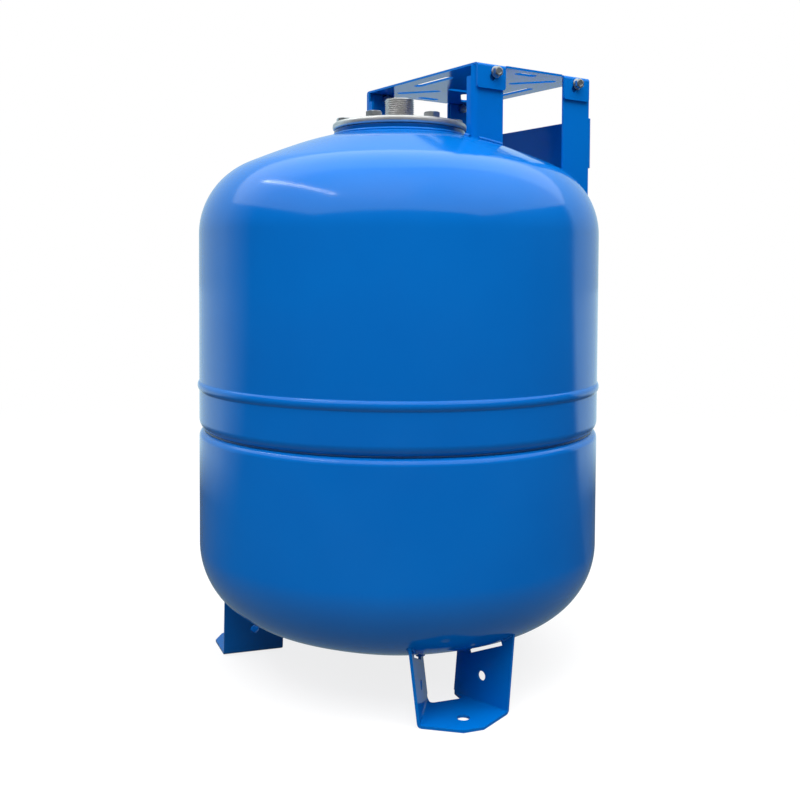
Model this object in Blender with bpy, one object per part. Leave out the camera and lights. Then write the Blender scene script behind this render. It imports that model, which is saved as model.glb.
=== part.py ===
"""Vertical well pressure tank with three sheet feet, a bolted water flange and a pump bracket.

Metres, +Z up. The origin is on the tank's axis at floor level. The pump bracket stands towards +Y,
and the water connection is in front of it. The right-hand side of the bracket is +X.
"""

import math

import bmesh
import bpy
from mathutils import Matrix, Vector

# Fits
SEAT_GAP = 0.0003
BORE_GAP = 0.0004

# Steel shells
TANK_RADIUS = 0.225
SHELL_WALL = 0.0018
CROWN_RADIUS = 0.356
CROWN_REACH = 0.125
BAND_RADIUS = 1.19
KNUCKLE_RADIUS = 0.085
STRAIGHT_LENGTH = 0.342
FLOOR_CLEARANCE = 0.0207
SHELL_SIDES = 48
HEAD_STEPS = (2, 1, 5)

# Girth seam and bead
SEAM_ABOVE_TANGENT = 0.1342
SEAM_WIDTH = 0.0078
SPIGOT_GAP = 0.0004
SPIGOT_LENGTH = 0.026
SHOULDER_RADIUS = 0.0045
SEAM_WELD_WIDTH = 0.0046
SEAM_WELD_HEIGHT = 0.0011
BEAD_ABOVE_SEAM = 0.0445
BEAD_HALF_WIDTH = 0.0052
BEAD_RISE = 0.0023
SKIRT_STEP = 0.0007

# Neck ring and water flange
RING_RADIUS = 0.0745
RING_RIM_HEIGHT = 0.0066
RING_SPIGOT_RADIUS = 0.070
RING_SPIGOT_DEPTH = 0.0165
RING_BORE_RADIUS = 0.046
LIP_SEAT_RADIUS = 0.054
LIP_SEAT_DEPTH = 0.0034
FLANGE_RADIUS = 0.0762
FLANGE_THICKNESS = 0.0078
FLANGE_EDGE_RADIUS = 0.0031
BOLT_COUNT = 6
BOLT_CIRCLE_RADIUS = 0.063
FIRST_BOLT_DEG = -60.0
NECK_SIDES = 36

# Water nipple, male pipe thread of one inch
NIPPLE_RADIUS = 0.0166
NIPPLE_BORE_RADIUS = 0.0136
NIPPLE_HEIGHT = 0.0285
NIPPLE_WELD = 0.0028
NIPPLE_CHAMFER = 0.0012

# Flange bolts
FLANGE_BOLT_RADIUS = 0.0048
FLANGE_BOLT_FLATS = 0.016
FLANGE_BOLT_HEAD = 0.0062
FLANGE_BOLT_ENGAGEMENT = 0.0115
FLANGE_BOLT_HOLE_RADIUS = 0.0055
TAPPED_HOLE_DEPTH = 0.0132

# Rubber bladder
BLADDER_WALL = 0.0022
BLADDER_CLEARANCE = 0.029
BLADDER_NECK_DEPTH = 0.030
BLADDER_SHOULDER_DROP = 0.115
BLADDER_BOTTOM_RISE = 0.045
BLADDER_BOTTOM_RADIUS = 0.110

# Air valve under the tank
VALVE_HOLE_RADIUS = 0.0044
VALVE_STEM_RADIUS = 0.0040
VALVE_BORE_RADIUS = 0.0023
VALVE_COLLAR_RADIUS = 0.0085
VALVE_COLLAR_HEIGHT = 0.0032
VALVE_STEM_LENGTH = 0.0145
VALVE_INNER_LENGTH = 0.0120
VALVE_CORE_LENGTH = 0.0130
CAP_WALL = 0.0012
CAP_LENGTH = 0.0095

# Sheet feet
FOOT_COUNT = 3
FIRST_FOOT_DEG = -13.8
FOOT_SHEET = 0.0030
FOOT_CORNER_INSET = 0.0314
FOOT_CORNER_HALF = 0.0491
FOOT_TIP_INSET = 0.0074
FOOT_TIP_HALF = 0.0107
FOOT_WALL_LENGTH = 0.0688
FOOT_WALL_TURN_DEG = 28.0
FOOT_LEAN_DEG = 6.9
FOOT_BEND_RADIUS = 0.0045
FOOT_NOTCH_DEPTH = 0.0436
FOOT_NOTCH_CORNER = 0.0040
FOOT_NOTCH_MARGIN = 0.0050
FOOT_TAB_REAR = 0.0165
FOOT_TAB_FRONT = 0.0125
FOOT_TOP_GAP = 0.0052
ANCHOR_HOLE_RADIUS = 0.0065
ANCHOR_HOLE_INSET = 0.0255
WALL_HOLE_RADIUS = 0.0050
WALL_HOLE_ALONG = 0.0335
WALL_HOLE_UP = 0.0287

# Pump bracket
PLATE_WIDTH = 0.222
PLATE_DEPTH = 0.1636
PLATE_FRONT_Y = 0.0253
PLATE_ABOVE_FLANGE = 0.0563
PLATE_SHEET = 0.0025
PLATE_BEND_RADIUS = 0.0036
EAR_WIDTH = 0.039
EAR_DROP = 0.0270
EAR_CORNER_RADIUS = 0.0030
EAR_RELIEF = 0.0022
EDGE_SETBACK = 0.0010
EAR_SLOT_WIDTH = 0.0072
EAR_SLOT_LENGTH = 0.0150
EAR_SLOT_DEG = 55.0
EAR_BOLT_DROP = 0.0085
FRONT_BOLT_INSET = 0.0247
BACK_BOLT_INSET = 0.0195
POST_SHEET = 0.0025
POST_BEND_RADIUS = 0.0055
POST_WIDTH = 0.040
POST_OVERHANG = 0.0025
POST_TOP_GAP = 0.0008
LIP_WIDTH = 0.013
LIP_TOP_DROP = 0.0140
WEB_TOP_DROP = 0.0450
WEB_HEIGHT = 0.0570
WEB_SETBACK = 0.0058
POST_HOLE_RADIUS = 0.0036

# Slots of the pump plate
SLOT_WIDTH = 0.0105
FAN_SLOT_LENGTH = 0.056
FAN_SLOT_X = 0.064
FAN_SLOT_Y = 0.036
FAN_SLOT_DEG = 38.0
CROSS_SLOT_LENGTH = 0.072
CROSS_SLOT_Y = 0.060
SIDE_SLOT_LENGTH = 0.030
SIDE_SLOT_X = 0.094
INNER_SLOT_LENGTH = 0.036
INNER_SLOT_X = 0.026

# Bracket bolts and nuts
EAR_BOLT_RADIUS = 0.0029
EAR_BOLT_FLATS = 0.010
EAR_BOLT_HEAD = 0.0046
EAR_BOLT_FLANGE_RADIUS = 0.0064
EAR_BOLT_FLANGE = 0.0012
EAR_NUT_HEIGHT = 0.0050
EAR_NUT_GAP = 0.0003
EAR_BOLT_STICKOUT = 0.0030


def clear_scene():
    for thing in list(bpy.data.objects):
        bpy.data.objects.remove(thing, do_unlink=True)


def make_material(name, colour, roughness, metallic):
    material = bpy.data.materials.new(name)
    material.use_nodes = True
    shader = material.node_tree.nodes["Principled BSDF"]
    shader.inputs["Base Color"].default_value = (*colour, 1.0)
    shader.inputs["Roughness"].default_value = roughness
    shader.inputs["Metallic"].default_value = metallic
    return material


def add_object(name, mesh_data, material):
    thing = bpy.data.objects.new(name, mesh_data)
    bpy.context.scene.collection.objects.link(thing)
    if material is not None and not mesh_data.materials:
        mesh_data.materials.append(material)
    return thing


def finish_mesh(name, bm, smooth_deg=35.0):
    bmesh.ops.recalc_face_normals(bm, faces=bm.faces)
    mesh_data = bpy.data.meshes.new(name)
    bm.to_mesh(mesh_data)
    bm.free()
    mesh_data.shade_smooth()
    mesh_data.set_sharp_from_angle(angle=math.radians(smooth_deg))
    return mesh_data


def ring_faces(bm, first, second):
    """Join two rings, either of which may be a single point on the axis."""
    if len(first) == 1 and len(second) == 1:
        return
    count = max(len(first), len(second))
    for i in range(count):
        j = (i + 1) % count
        if len(first) == 1:
            bm.faces.new((first[0], second[i], second[j]))
        elif len(second) == 1:
            bm.faces.new((first[i], second[0], first[j]))
        else:
            bm.faces.new((first[i], second[i], second[j], first[j]))


def lathe(name, profile, sides, closed=True):
    """Turn a profile of (radius, height) points about Z. An open profile starts and ends on the axis."""
    bm = bmesh.new()
    rings = []
    for radius, height in profile:
        if radius <= 0.0:
            rings.append([bm.verts.new((0.0, 0.0, height))])
            continue
        turns = [math.tau * i / sides for i in range(sides)]
        rings.append([bm.verts.new((radius * math.cos(a), radius * math.sin(a), height)) for a in turns])
    for first, second in zip(rings, rings[1:]):
        ring_faces(bm, first, second)
    if closed:
        ring_faces(bm, rings[-1], rings[0])
    return finish_mesh(name, bm)


def loft(name, rings, loop=False):
    """Join rings of equal count, with a flat cap on both ends or as a closed loop."""
    bm = bmesh.new()
    rows = [[bm.verts.new(point) for point in ring] for ring in rings]
    for first, second in zip(rows, rows[1:]):
        ring_faces(bm, first, second)
    if loop:
        ring_faces(bm, rows[-1], rows[0])
    else:
        bm.faces.new(rows[0])
        bm.faces.new(rows[-1])
    return finish_mesh(name, bm, 25.0)


def arc_points(centre, radius, start_deg, end_deg, steps):
    """Points on an arc, as (x, y) about the centre, with both ends."""
    points = []
    for i in range(steps + 1):
        angle = math.radians(start_deg + (end_deg - start_deg) * i / steps)
        points.append((centre[0] + radius * math.cos(angle), centre[1] + radius * math.sin(angle)))
    return points


# Domed head: a crown arc, a nearly straight band and a knuckle that ends upright at the tank's radius
CROWN_ANGLE = math.asin(CROWN_REACH / CROWN_RADIUS)
KNUCKLE_CENTRE = TANK_RADIUS - KNUCKLE_RADIUS
BAND_ANGLE = math.asin(
    (KNUCKLE_CENTRE - CROWN_REACH + BAND_RADIUS * math.sin(CROWN_ANGLE)) / (BAND_RADIUS - KNUCKLE_RADIUS)
)
BAND_BOTTOM = KNUCKLE_RADIUS * math.cos(BAND_ANGLE)
BAND_TOP = BAND_BOTTOM + BAND_RADIUS * (math.cos(CROWN_ANGLE) - math.cos(BAND_ANGLE))
HEAD_RISE = BAND_TOP + CROWN_RADIUS * (1.0 - math.cos(CROWN_ANGLE))


def crown_rise(radius):
    """Height of the crown above the tangent line at a radius within the crown."""
    return BAND_TOP + math.sqrt(CROWN_RADIUS**2 - radius**2) - CROWN_RADIUS * math.cos(CROWN_ANGLE)


def head_section(inner_radius, crown_steps, band_steps, knuckle_steps):
    """Outer points of a head from the inner radius to the tangent line, each with its outward normal."""
    section = []
    start = math.asin(inner_radius / CROWN_RADIUS)
    for i in range(crown_steps):
        angle = start + (CROWN_ANGLE - start) * i / crown_steps
        radius = CROWN_RADIUS * math.sin(angle)
        section.append((radius, crown_rise(radius), angle))
    for i in range(band_steps):
        angle = CROWN_ANGLE + (BAND_ANGLE - CROWN_ANGLE) * i / band_steps
        radius = CROWN_REACH + BAND_RADIUS * (math.sin(angle) - math.sin(CROWN_ANGLE))
        section.append((radius, BAND_TOP + BAND_RADIUS * (math.cos(angle) - math.cos(CROWN_ANGLE)), angle))
    for i in range(knuckle_steps + 1):
        angle = BAND_ANGLE + (math.pi / 2 - BAND_ANGLE) * i / knuckle_steps
        radius = KNUCKLE_CENTRE + KNUCKLE_RADIUS * math.sin(angle)
        section.append((radius, KNUCKLE_RADIUS * math.cos(angle), angle))
    return section


def head_profile(inner_radius, offset, steps=HEAD_STEPS):
    """Points of a head moved along its normals by offset, as (radius, rise above the tangent line)."""
    points = []
    for radius, rise, angle in head_section(inner_radius, *steps):
        points.append((radius + offset * math.sin(angle), rise + offset * math.cos(angle)))
    return points


LOWER_TANGENT_Z = FLOOR_CLEARANCE + HEAD_RISE
UPPER_TANGENT_Z = LOWER_TANGENT_Z + STRAIGHT_LENGTH
SEAM_TOP_Z = LOWER_TANGENT_Z + SEAM_ABOVE_TANGENT
SEAM_BOTTOM_Z = SEAM_TOP_Z - SEAM_WIDTH
BEAD_Z = SEAM_TOP_Z + BEAD_ABOVE_SEAM
SKIRT_RADIUS = TANK_RADIUS - SKIRT_STEP
SPIGOT_RADIUS = SKIRT_RADIUS - SHELL_WALL - SPIGOT_GAP
NECK_OPENING_RADIUS = RING_SPIGOT_RADIUS + SEAT_GAP


def bead_outline(steps):
    """The rolled bead from top to bottom, as (extra radius, height)."""
    outline = []
    for i in range(steps + 1):
        turn = -1.0 + 2.0 * i / steps
        base = -SKIRT_STEP * i / steps
        outline.append((base + BEAD_RISE * math.cos(turn * math.pi / 2) ** 0.8, BEAD_Z - turn * BEAD_HALF_WIDTH))
    return outline


def make_upper_shell(paint):
    """Upper head and wall, pressed in one piece, with the neck opening, the bead and the seam's upper edge."""
    outer = [(r, UPPER_TANGENT_Z + h) for r, h in head_profile(NECK_OPENING_RADIUS, 0.0)]
    inner = [(r, UPPER_TANGENT_Z + h) for r, h in head_profile(NECK_OPENING_RADIUS, -SHELL_WALL)]
    inner[0] = (NECK_OPENING_RADIUS, inner[0][1])
    bead = bead_outline(4)
    outer += [(TANK_RADIUS + extra, height) for extra, height in bead]
    inner += [(TANK_RADIUS + extra - SHELL_WALL, height) for extra, height in bead[::2]]
    edge = SHELL_WALL * 0.6
    outer += [(SKIRT_RADIUS, SEAM_TOP_Z + edge), (SKIRT_RADIUS - edge * 0.35, SEAM_TOP_Z + edge * 0.3)]
    outer += [(SKIRT_RADIUS - edge, SEAM_TOP_Z)]
    inner += [(SKIRT_RADIUS - SHELL_WALL, SEAM_TOP_Z)]
    return add_object("upper_shell", lathe("upper_shell", outer + inner[::-1], SHELL_SIDES), paint)


def make_lower_shell(paint):
    """Lower head and wall, with a rounded shoulder and a spigot that slides inside the upper shell."""
    outer = [(r, LOWER_TANGENT_Z - h) for r, h in head_profile(VALVE_HOLE_RADIUS, 0.0)]
    inner = [(r, LOWER_TANGENT_Z - h) for r, h in head_profile(VALVE_HOLE_RADIUS, -SHELL_WALL)]
    inner[0] = (VALVE_HOLE_RADIUS, inner[0][1])
    step = TANK_RADIUS - SPIGOT_RADIUS
    drop = SHOULDER_RADIUS - math.sqrt(SHOULDER_RADIUS**2 - (SHOULDER_RADIUS - step) ** 2)
    shoulder_z = SEAM_BOTTOM_Z - (SHOULDER_RADIUS - drop)
    sweep = math.degrees(math.acos((SHOULDER_RADIUS - step) / SHOULDER_RADIUS))
    outer += arc_points((TANK_RADIUS - SHOULDER_RADIUS, shoulder_z), SHOULDER_RADIUS, 0.0, sweep, 4)
    spigot_top = SEAM_TOP_Z + SPIGOT_LENGTH
    outer += [(SPIGOT_RADIUS, spigot_top)]
    inner += [(TANK_RADIUS - SHELL_WALL, shoulder_z), (SPIGOT_RADIUS - SHELL_WALL, SEAM_BOTTOM_Z)]
    inner += [(SPIGOT_RADIUS - SHELL_WALL, spigot_top)]
    return add_object("lower_shell", lathe("lower_shell", outer + inner[::-1], SHELL_SIDES), paint)


def make_seam_weld(paint):
    """The girth weld, a low crowned band at the bottom of the seam."""
    middle = (SEAM_TOP_Z + SEAM_BOTTOM_Z) / 2
    root = SPIGOT_RADIUS + SEAT_GAP
    half = SEAM_WELD_WIDTH / 2
    crown = root + SEAM_WELD_HEIGHT
    profile = [(root, middle - half), (crown, middle - half / 2), (crown, middle + half / 2), (root, middle + half)]
    return add_object("seam_weld", lathe("seam_weld", profile, SHELL_SIDES), paint)


RING_TOP_Z = UPPER_TANGENT_Z + crown_rise(RING_RADIUS) + RING_RIM_HEIGHT
FLANGE_BOTTOM_Z = RING_TOP_Z + SEAT_GAP
FLANGE_TOP_Z = FLANGE_BOTTOM_Z + FLANGE_THICKNESS
RING_BOTTOM_Z = RING_TOP_Z - RING_SPIGOT_DEPTH


def bolt_angles():
    return [math.radians(FIRST_BOLT_DEG + 360.0 * i / BOLT_COUNT) for i in range(BOLT_COUNT)]


def cylinder_cutter(name, cylinders, sides=16):
    """One hidden cutter of several cylinders, each given by a centre, an axis, a radius and a length."""
    bm = bmesh.new()
    for centre, axis, radius, length in cylinders:
        turn = Vector(axis).to_track_quat("Z", "Y").to_matrix().to_4x4()
        place = Matrix.Translation(centre) @ turn
        bmesh.ops.create_cone(bm, cap_ends=True, segments=sides, radius1=radius, radius2=radius,
                              depth=length, matrix=place)
    return hide_cutter(add_object(name, finish_mesh(name, bm), None))


def hide_cutter(cutter):
    cutter.hide_render = True
    cutter.display_type = "WIRE"
    return cutter


def cut(thing, cutter):
    """Take the cutter's shape out of a piece."""
    modifier = thing.modifiers.new("cut_" + cutter.name, "BOOLEAN")
    modifier.operation = "DIFFERENCE"
    modifier.solver = "EXACT"
    modifier.object = cutter


def make_neck_ring(paint):
    """Forged ring in the head's opening. It seats on the head and takes the flange bolts and the bladder's lip."""
    chamfer = 0.0006
    dome_gap = SEAT_GAP
    profile = [(RING_BORE_RADIUS, RING_BOTTOM_Z)]
    profile += [(RING_BORE_RADIUS, RING_TOP_Z - LIP_SEAT_DEPTH), (LIP_SEAT_RADIUS, RING_TOP_Z - LIP_SEAT_DEPTH)]
    profile += [(LIP_SEAT_RADIUS, RING_TOP_Z), (RING_RADIUS - chamfer, RING_TOP_Z)]
    profile += [(RING_RADIUS, RING_TOP_Z - chamfer)]
    profile += [(RING_RADIUS, UPPER_TANGENT_Z + crown_rise(RING_RADIUS) + dome_gap)]
    profile += [(RING_SPIGOT_RADIUS, UPPER_TANGENT_Z + crown_rise(RING_SPIGOT_RADIUS) + dome_gap)]
    profile += [(RING_SPIGOT_RADIUS, RING_BOTTOM_Z)]
    ring = add_object("neck_ring", lathe("neck_ring", profile, NECK_SIDES), paint)
    holes = []
    for angle in bolt_angles():
        centre = (BOLT_CIRCLE_RADIUS * math.cos(angle), BOLT_CIRCLE_RADIUS * math.sin(angle), RING_TOP_Z)
        holes.append((centre, (0, 0, 1), FLANGE_BOLT_RADIUS + SEAT_GAP, 2 * TAPPED_HOLE_DEPTH))
    cut(ring, cylinder_cutter("tapped_holes", holes, 12))
    return ring


def make_flange_plate(steel):
    """Round steel flange with a rolled edge, a nipple hole and a hole for each bolt."""
    edge = FLANGE_EDGE_RADIUS
    hole = NIPPLE_RADIUS + SEAT_GAP
    profile = [(hole, FLANGE_BOTTOM_Z), (hole, FLANGE_TOP_Z)]
    profile += arc_points((FLANGE_RADIUS - edge, FLANGE_TOP_Z - edge), edge, 90.0, 0.0, 4)
    profile += arc_points((FLANGE_RADIUS - edge, FLANGE_BOTTOM_Z + edge), edge, 0.0, -90.0, 3)
    plate = add_object("flange_plate", lathe("flange_plate", profile, NECK_SIDES), steel)
    holes = []
    for angle in bolt_angles():
        middle = (FLANGE_TOP_Z + FLANGE_BOTTOM_Z) / 2
        centre = (BOLT_CIRCLE_RADIUS * math.cos(angle), BOLT_CIRCLE_RADIUS * math.sin(angle), middle)
        holes.append((centre, (0, 0, 1), FLANGE_BOLT_HOLE_RADIUS, 2 * FLANGE_THICKNESS))
    cut(plate, cylinder_cutter("clearance_holes", holes, 12))
    return plate


def make_water_nipple(steel):
    """Male pipe nipple, welded in the flange, open right through to the bladder."""
    top = FLANGE_TOP_Z + NIPPLE_HEIGHT
    weld_foot = FLANGE_TOP_Z + SEAT_GAP
    profile = [(NIPPLE_BORE_RADIUS, FLANGE_BOTTOM_Z), (NIPPLE_BORE_RADIUS, top)]
    profile += [(NIPPLE_RADIUS - NIPPLE_CHAMFER, top), (NIPPLE_RADIUS, top - NIPPLE_CHAMFER)]
    weld_centre = (NIPPLE_RADIUS + NIPPLE_WELD, weld_foot + NIPPLE_WELD)
    profile += arc_points(weld_centre, NIPPLE_WELD, 180.0, 270.0, 3)
    profile += [(NIPPLE_RADIUS, weld_foot), (NIPPLE_RADIUS, FLANGE_BOTTOM_Z)]
    return add_object("water_nipple", lathe("water_nipple", profile, 24), steel)


def circle_ring(radius, height, count=12):
    return [(radius * math.cos(math.tau * i / count), radius * math.sin(math.tau * i / count), height)
            for i in range(count)]


def hex_ring(flats, height):
    """A hexagon as 12 points, with its corners and the middles of its flats."""
    points = []
    for i in range(12):
        reach = flats / 2 if i % 2 else flats / 2 / math.cos(math.pi / 6)
        angle = math.tau * i / 12
        points.append((reach * math.cos(angle), reach * math.sin(angle), height))
    return points


def bolt_mesh(name, shank, length, flats, head, flange_radius=0.0, flange=0.0):
    """A hex bolt that seats at height zero, with a chamfered and dished head and an optional flange."""
    dish = head * 0.14
    chamfer = head * 0.16
    top = flange + head
    rings = [circle_ring(flats * 0.30, top - dish), circle_ring(flats * 0.36, top)]
    rings += [circle_ring(flats * 0.475, top), hex_ring(flats, top - chamfer), hex_ring(flats, flange)]
    if flange:
        rings += [circle_ring(flange_radius, flange * 0.7), circle_ring(flange_radius, 0.0)]
    rings += [circle_ring(shank, 0.0), circle_ring(shank, -length + shank * 0.3)]
    rings += [circle_ring(shank * 0.75, -length)]
    return loft(name, rings)


def nut_mesh(name, bore, flats, height):
    """A hex nut that seats at height zero and grows upwards, chamfered on its free end."""
    chamfer = height * 0.16
    rings = [circle_ring(bore, 0.0), hex_ring(flats, 0.0), hex_ring(flats, height - chamfer)]
    rings += [circle_ring(flats * 0.475, height), circle_ring(bore, height)]
    return loft(name, rings, loop=True)


def make_flange_bolts(zinc):
    length = FLANGE_THICKNESS + SEAT_GAP + FLANGE_BOLT_ENGAGEMENT
    mesh_data = bolt_mesh("flange_bolt", FLANGE_BOLT_RADIUS, length, FLANGE_BOLT_FLATS, FLANGE_BOLT_HEAD)
    for number, angle in enumerate(bolt_angles(), 1):
        bolt = add_object("flange_bolt_%d" % number, mesh_data, zinc)
        place = (BOLT_CIRCLE_RADIUS * math.cos(angle), BOLT_CIRCLE_RADIUS * math.sin(angle))
        bolt.location = (*place, FLANGE_TOP_Z + SEAT_GAP)
        bolt.rotation_euler.z = angle + math.radians(17.0 * number)


def make_bladder(rubber):
    """Rubber bladder that hangs in the shells. Its lip is held between the neck ring and the flange."""
    lip_top = RING_TOP_Z
    lip_bottom = RING_TOP_Z - LIP_SEAT_DEPTH + SEAT_GAP
    neck = RING_BORE_RADIUS - BORE_GAP
    neck_bottom = RING_TOP_Z - BLADDER_NECK_DEPTH
    shoulder_z = RING_TOP_Z - BLADDER_SHOULDER_DROP
    bottom_z = FLOOR_CLEARANCE + BLADDER_BOTTOM_RISE
    belly = TANK_RADIUS - BLADDER_CLEARANCE
    side_bottom = bottom_z + BLADDER_BOTTOM_RADIUS
    outer = [(LIP_SEAT_RADIUS - BORE_GAP, lip_top), (LIP_SEAT_RADIUS - BORE_GAP, lip_bottom)]
    outer += [(neck, lip_bottom), (neck, neck_bottom)]
    steps = 5
    for i in range(1, steps + 1):
        turn = math.pi / 2 * i / steps
        radius = neck + (belly - neck) * math.sin(turn)
        outer.append((radius, shoulder_z + (neck_bottom - shoulder_z) * math.cos(turn)))
    for i in range(steps + 1):
        turn = math.pi / 2 * i / steps
        outer.append((belly * math.cos(turn), side_bottom - BLADDER_BOTTOM_RADIUS * math.sin(turn)))
    outer[-1] = (0.0, bottom_z)
    bore = neck - BLADDER_WALL
    inner = [(bore, lip_top), (bore, neck_bottom)]
    for i in range(1, steps + 1):
        turn = math.pi / 2 * i / steps
        radius = bore + (belly - BLADDER_WALL - bore) * math.sin(turn)
        inner.append((radius, shoulder_z + (neck_bottom - shoulder_z - BLADDER_WALL) * math.cos(turn)))
    for i in range(steps + 1):
        turn = math.pi / 2 * i / steps
        reach = (belly - BLADDER_WALL) * math.cos(turn)
        inner.append((reach, side_bottom - (BLADDER_BOTTOM_RADIUS - BLADDER_WALL) * math.sin(turn)))
    inner[-1] = (0.0, bottom_z + BLADDER_WALL)
    return add_object("bladder", lathe("bladder", inner[::-1] + outer, 20, closed=False), rubber)


def make_air_valve(brass, core_metal, plastic):
    """Air filling valve at the lowest point: a stem with its collar, the core in its bore, and a screw cap."""
    collar_top = FLOOR_CLEARANCE - SEAT_GAP
    collar_bottom = collar_top - VALVE_COLLAR_HEIGHT
    stem_bottom = collar_top - VALVE_STEM_LENGTH
    stem_top = FLOOR_CLEARANCE + VALVE_INNER_LENGTH
    profile = [(VALVE_BORE_RADIUS, stem_bottom), (VALVE_BORE_RADIUS, stem_top), (VALVE_STEM_RADIUS, stem_top)]
    profile += [(VALVE_STEM_RADIUS, collar_top), (VALVE_COLLAR_RADIUS, collar_top)]
    profile += [(VALVE_COLLAR_RADIUS, collar_bottom), (VALVE_STEM_RADIUS, collar_bottom)]
    profile += [(VALVE_STEM_RADIUS, stem_bottom)]
    add_object("air_valve", lathe("air_valve", profile, 16), brass)

    core_radius = VALVE_BORE_RADIUS - SEAT_GAP
    core_bottom = stem_bottom + SEAT_GAP
    core_top = core_bottom + VALVE_CORE_LENGTH
    core = [(0.0, core_bottom), (core_radius * 0.5, core_bottom), (core_radius * 0.5, core_bottom + 0.002)]
    core += [(core_radius, core_bottom + 0.002), (core_radius, core_top), (0.0, core_top)]
    add_object("valve_core", lathe("valve_core", core, 12, closed=False), core_metal)

    cap_bore = VALVE_STEM_RADIUS + BORE_GAP
    cap_outer = cap_bore + CAP_WALL
    cap_floor = stem_bottom - SEAT_GAP
    cap_bottom = cap_floor - CAP_WALL
    cap_top = cap_bottom + CAP_LENGTH
    cap = [(0.0, cap_bottom), (cap_outer * 0.85, cap_bottom), (cap_outer, cap_bottom + CAP_WALL * 0.6)]
    cap += [(cap_outer, cap_top), (cap_bore, cap_top), (cap_bore, cap_floor), (0.0, cap_floor)]
    add_object("valve_cap", lathe("valve_cap", cap, 16, closed=False), plastic)


def make_tank_envelope():
    """Hidden cutter: the outside of the whole vessel, one seat gap larger, which trims all that is welded to it."""
    lower = [(r, LOWER_TANGENT_Z - h) for r, h in head_profile(VALVE_HOLE_RADIUS, SEAT_GAP)]
    upper = [(r, UPPER_TANGENT_Z + h) for r, h in head_profile(NECK_OPENING_RADIUS, SEAT_GAP)]
    outline = [(0.0, lower[0][1])] + lower + upper[::-1] + [(0.0, upper[0][1])]
    return hide_cutter(add_object("tank_envelope", lathe("tank_envelope", outline, SHELL_SIDES, False), None))


FOOT_CORNER_REACH = TANK_RADIUS - FOOT_CORNER_INSET
FOOT_TIP_REACH = TANK_RADIUS - FOOT_TIP_INSET
FOOT_NOTCH_REACH = FOOT_CORNER_REACH - FOOT_NOTCH_DEPTH
ANCHOR_HOLE_REACH = FOOT_TIP_REACH - ANCHOR_HOLE_INSET


def foot_wall(sign):
    """One wall of a foot, in the foot's own frame with +X pointing away from the tank's axis.

    Gives the rear end of the fold line, its direction, the outward direction and the leaning upward one.
    """
    turn = math.radians(FOOT_WALL_TURN_DEG)
    along = Vector((math.cos(turn), sign * math.sin(turn), 0.0))
    outward = Vector((-math.sin(turn), sign * math.cos(turn), 0.0))
    front = Vector((FOOT_CORNER_REACH, sign * FOOT_CORNER_HALF, 0.0))
    lean = math.radians(FOOT_LEAN_DEG)
    up = outward * math.sin(lean) + Vector((0.0, 0.0, math.cos(lean)))
    return front - along * FOOT_WALL_LENGTH, along, outward, up


def head_underside(radius):
    """Height of the lower head's outer face at a radius."""
    points = head_profile(0.0, 0.0)
    for (r1, h1), (r2, h2) in zip(points, points[1:]):
        if r1 <= radius <= r2:
            return LOWER_TANGENT_Z - h1 - (h2 - h1) * (radius - r1) / (r2 - r1)
    return LOWER_TANGENT_Z


def wall_reach(start, along, up, distance):
    """How far up a foot's wall meets the lower head, at a distance along its fold line."""
    reach = 0.0
    for _ in range(12):
        point = start + along * distance + up * reach
        reach = head_underside(math.hypot(point.x, point.y)) / up.z
    return reach


def foot_mesh():
    """Outer face of a foot: a floor plate with a pointed front, and two walls folded up that lean outwards."""
    bm = bmesh.new()
    bend = math.radians(90.0 - FOOT_LEAN_DEG)
    tangent = FOOT_BEND_RADIUS * math.tan(bend / 2)
    bend_steps = 3
    edges = {}
    for sign in (1, -1):
        start, along, outward, up = foot_wall(sign)
        columns = []
        for distance in (0.0, FOOT_WALL_LENGTH):
            fold = start + along * distance
            centre = fold - outward * tangent + Vector((0.0, 0.0, FOOT_BEND_RADIUS))
            column = []
            for i in range(bend_steps + 1):
                turn = bend * i / bend_steps
                column.append(centre + FOOT_BEND_RADIUS * (outward * math.sin(turn) - Vector((0, 0, math.cos(turn)))))
            column.append(fold + up * LOWER_TANGENT_Z)
            columns.append([bm.verts.new(point) for point in column])
        for i in range(bend_steps + 1):
            bm.faces.new((columns[0][i], columns[1][i], columns[1][i + 1], columns[0][i + 1]))
        edges[sign] = (columns[0][0], columns[1][0])
    tips = [bm.verts.new((FOOT_TIP_REACH, sign * FOOT_TIP_HALF, 0.0)) for sign in (1, -1)]
    floor_face = bm.faces.new((edges[1][0], edges[1][1], tips[0], tips[1], edges[-1][1], edges[-1][0]))
    bmesh.ops.recalc_face_normals(bm, faces=bm.faces)
    if floor_face.normal.z > 0:
        bmesh.ops.reverse_faces(bm, faces=bm.faces)
    mesh_data = bpy.data.meshes.new("foot")
    bm.to_mesh(mesh_data)
    bm.free()
    mesh_data.shade_smooth()
    mesh_data.set_sharp_from_angle(angle=math.radians(35.0))
    return mesh_data


def foot_hole_cylinders():
    """The anchor hole and the hole of each wall, in the foot's own frame."""
    holes = [((ANCHOR_HOLE_REACH, 0.0, 0.0), (0, 0, 1), ANCHOR_HOLE_RADIUS, 6 * FOOT_SHEET)]
    for sign in (1, -1):
        start, along, outward, up = foot_wall(sign)
        centre = start + along * WALL_HOLE_ALONG + up * WALL_HOLE_UP
        holes.append((tuple(centre), tuple(along.cross(up)), WALL_HOLE_RADIUS, 6 * FOOT_SHEET))
    return holes


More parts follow.
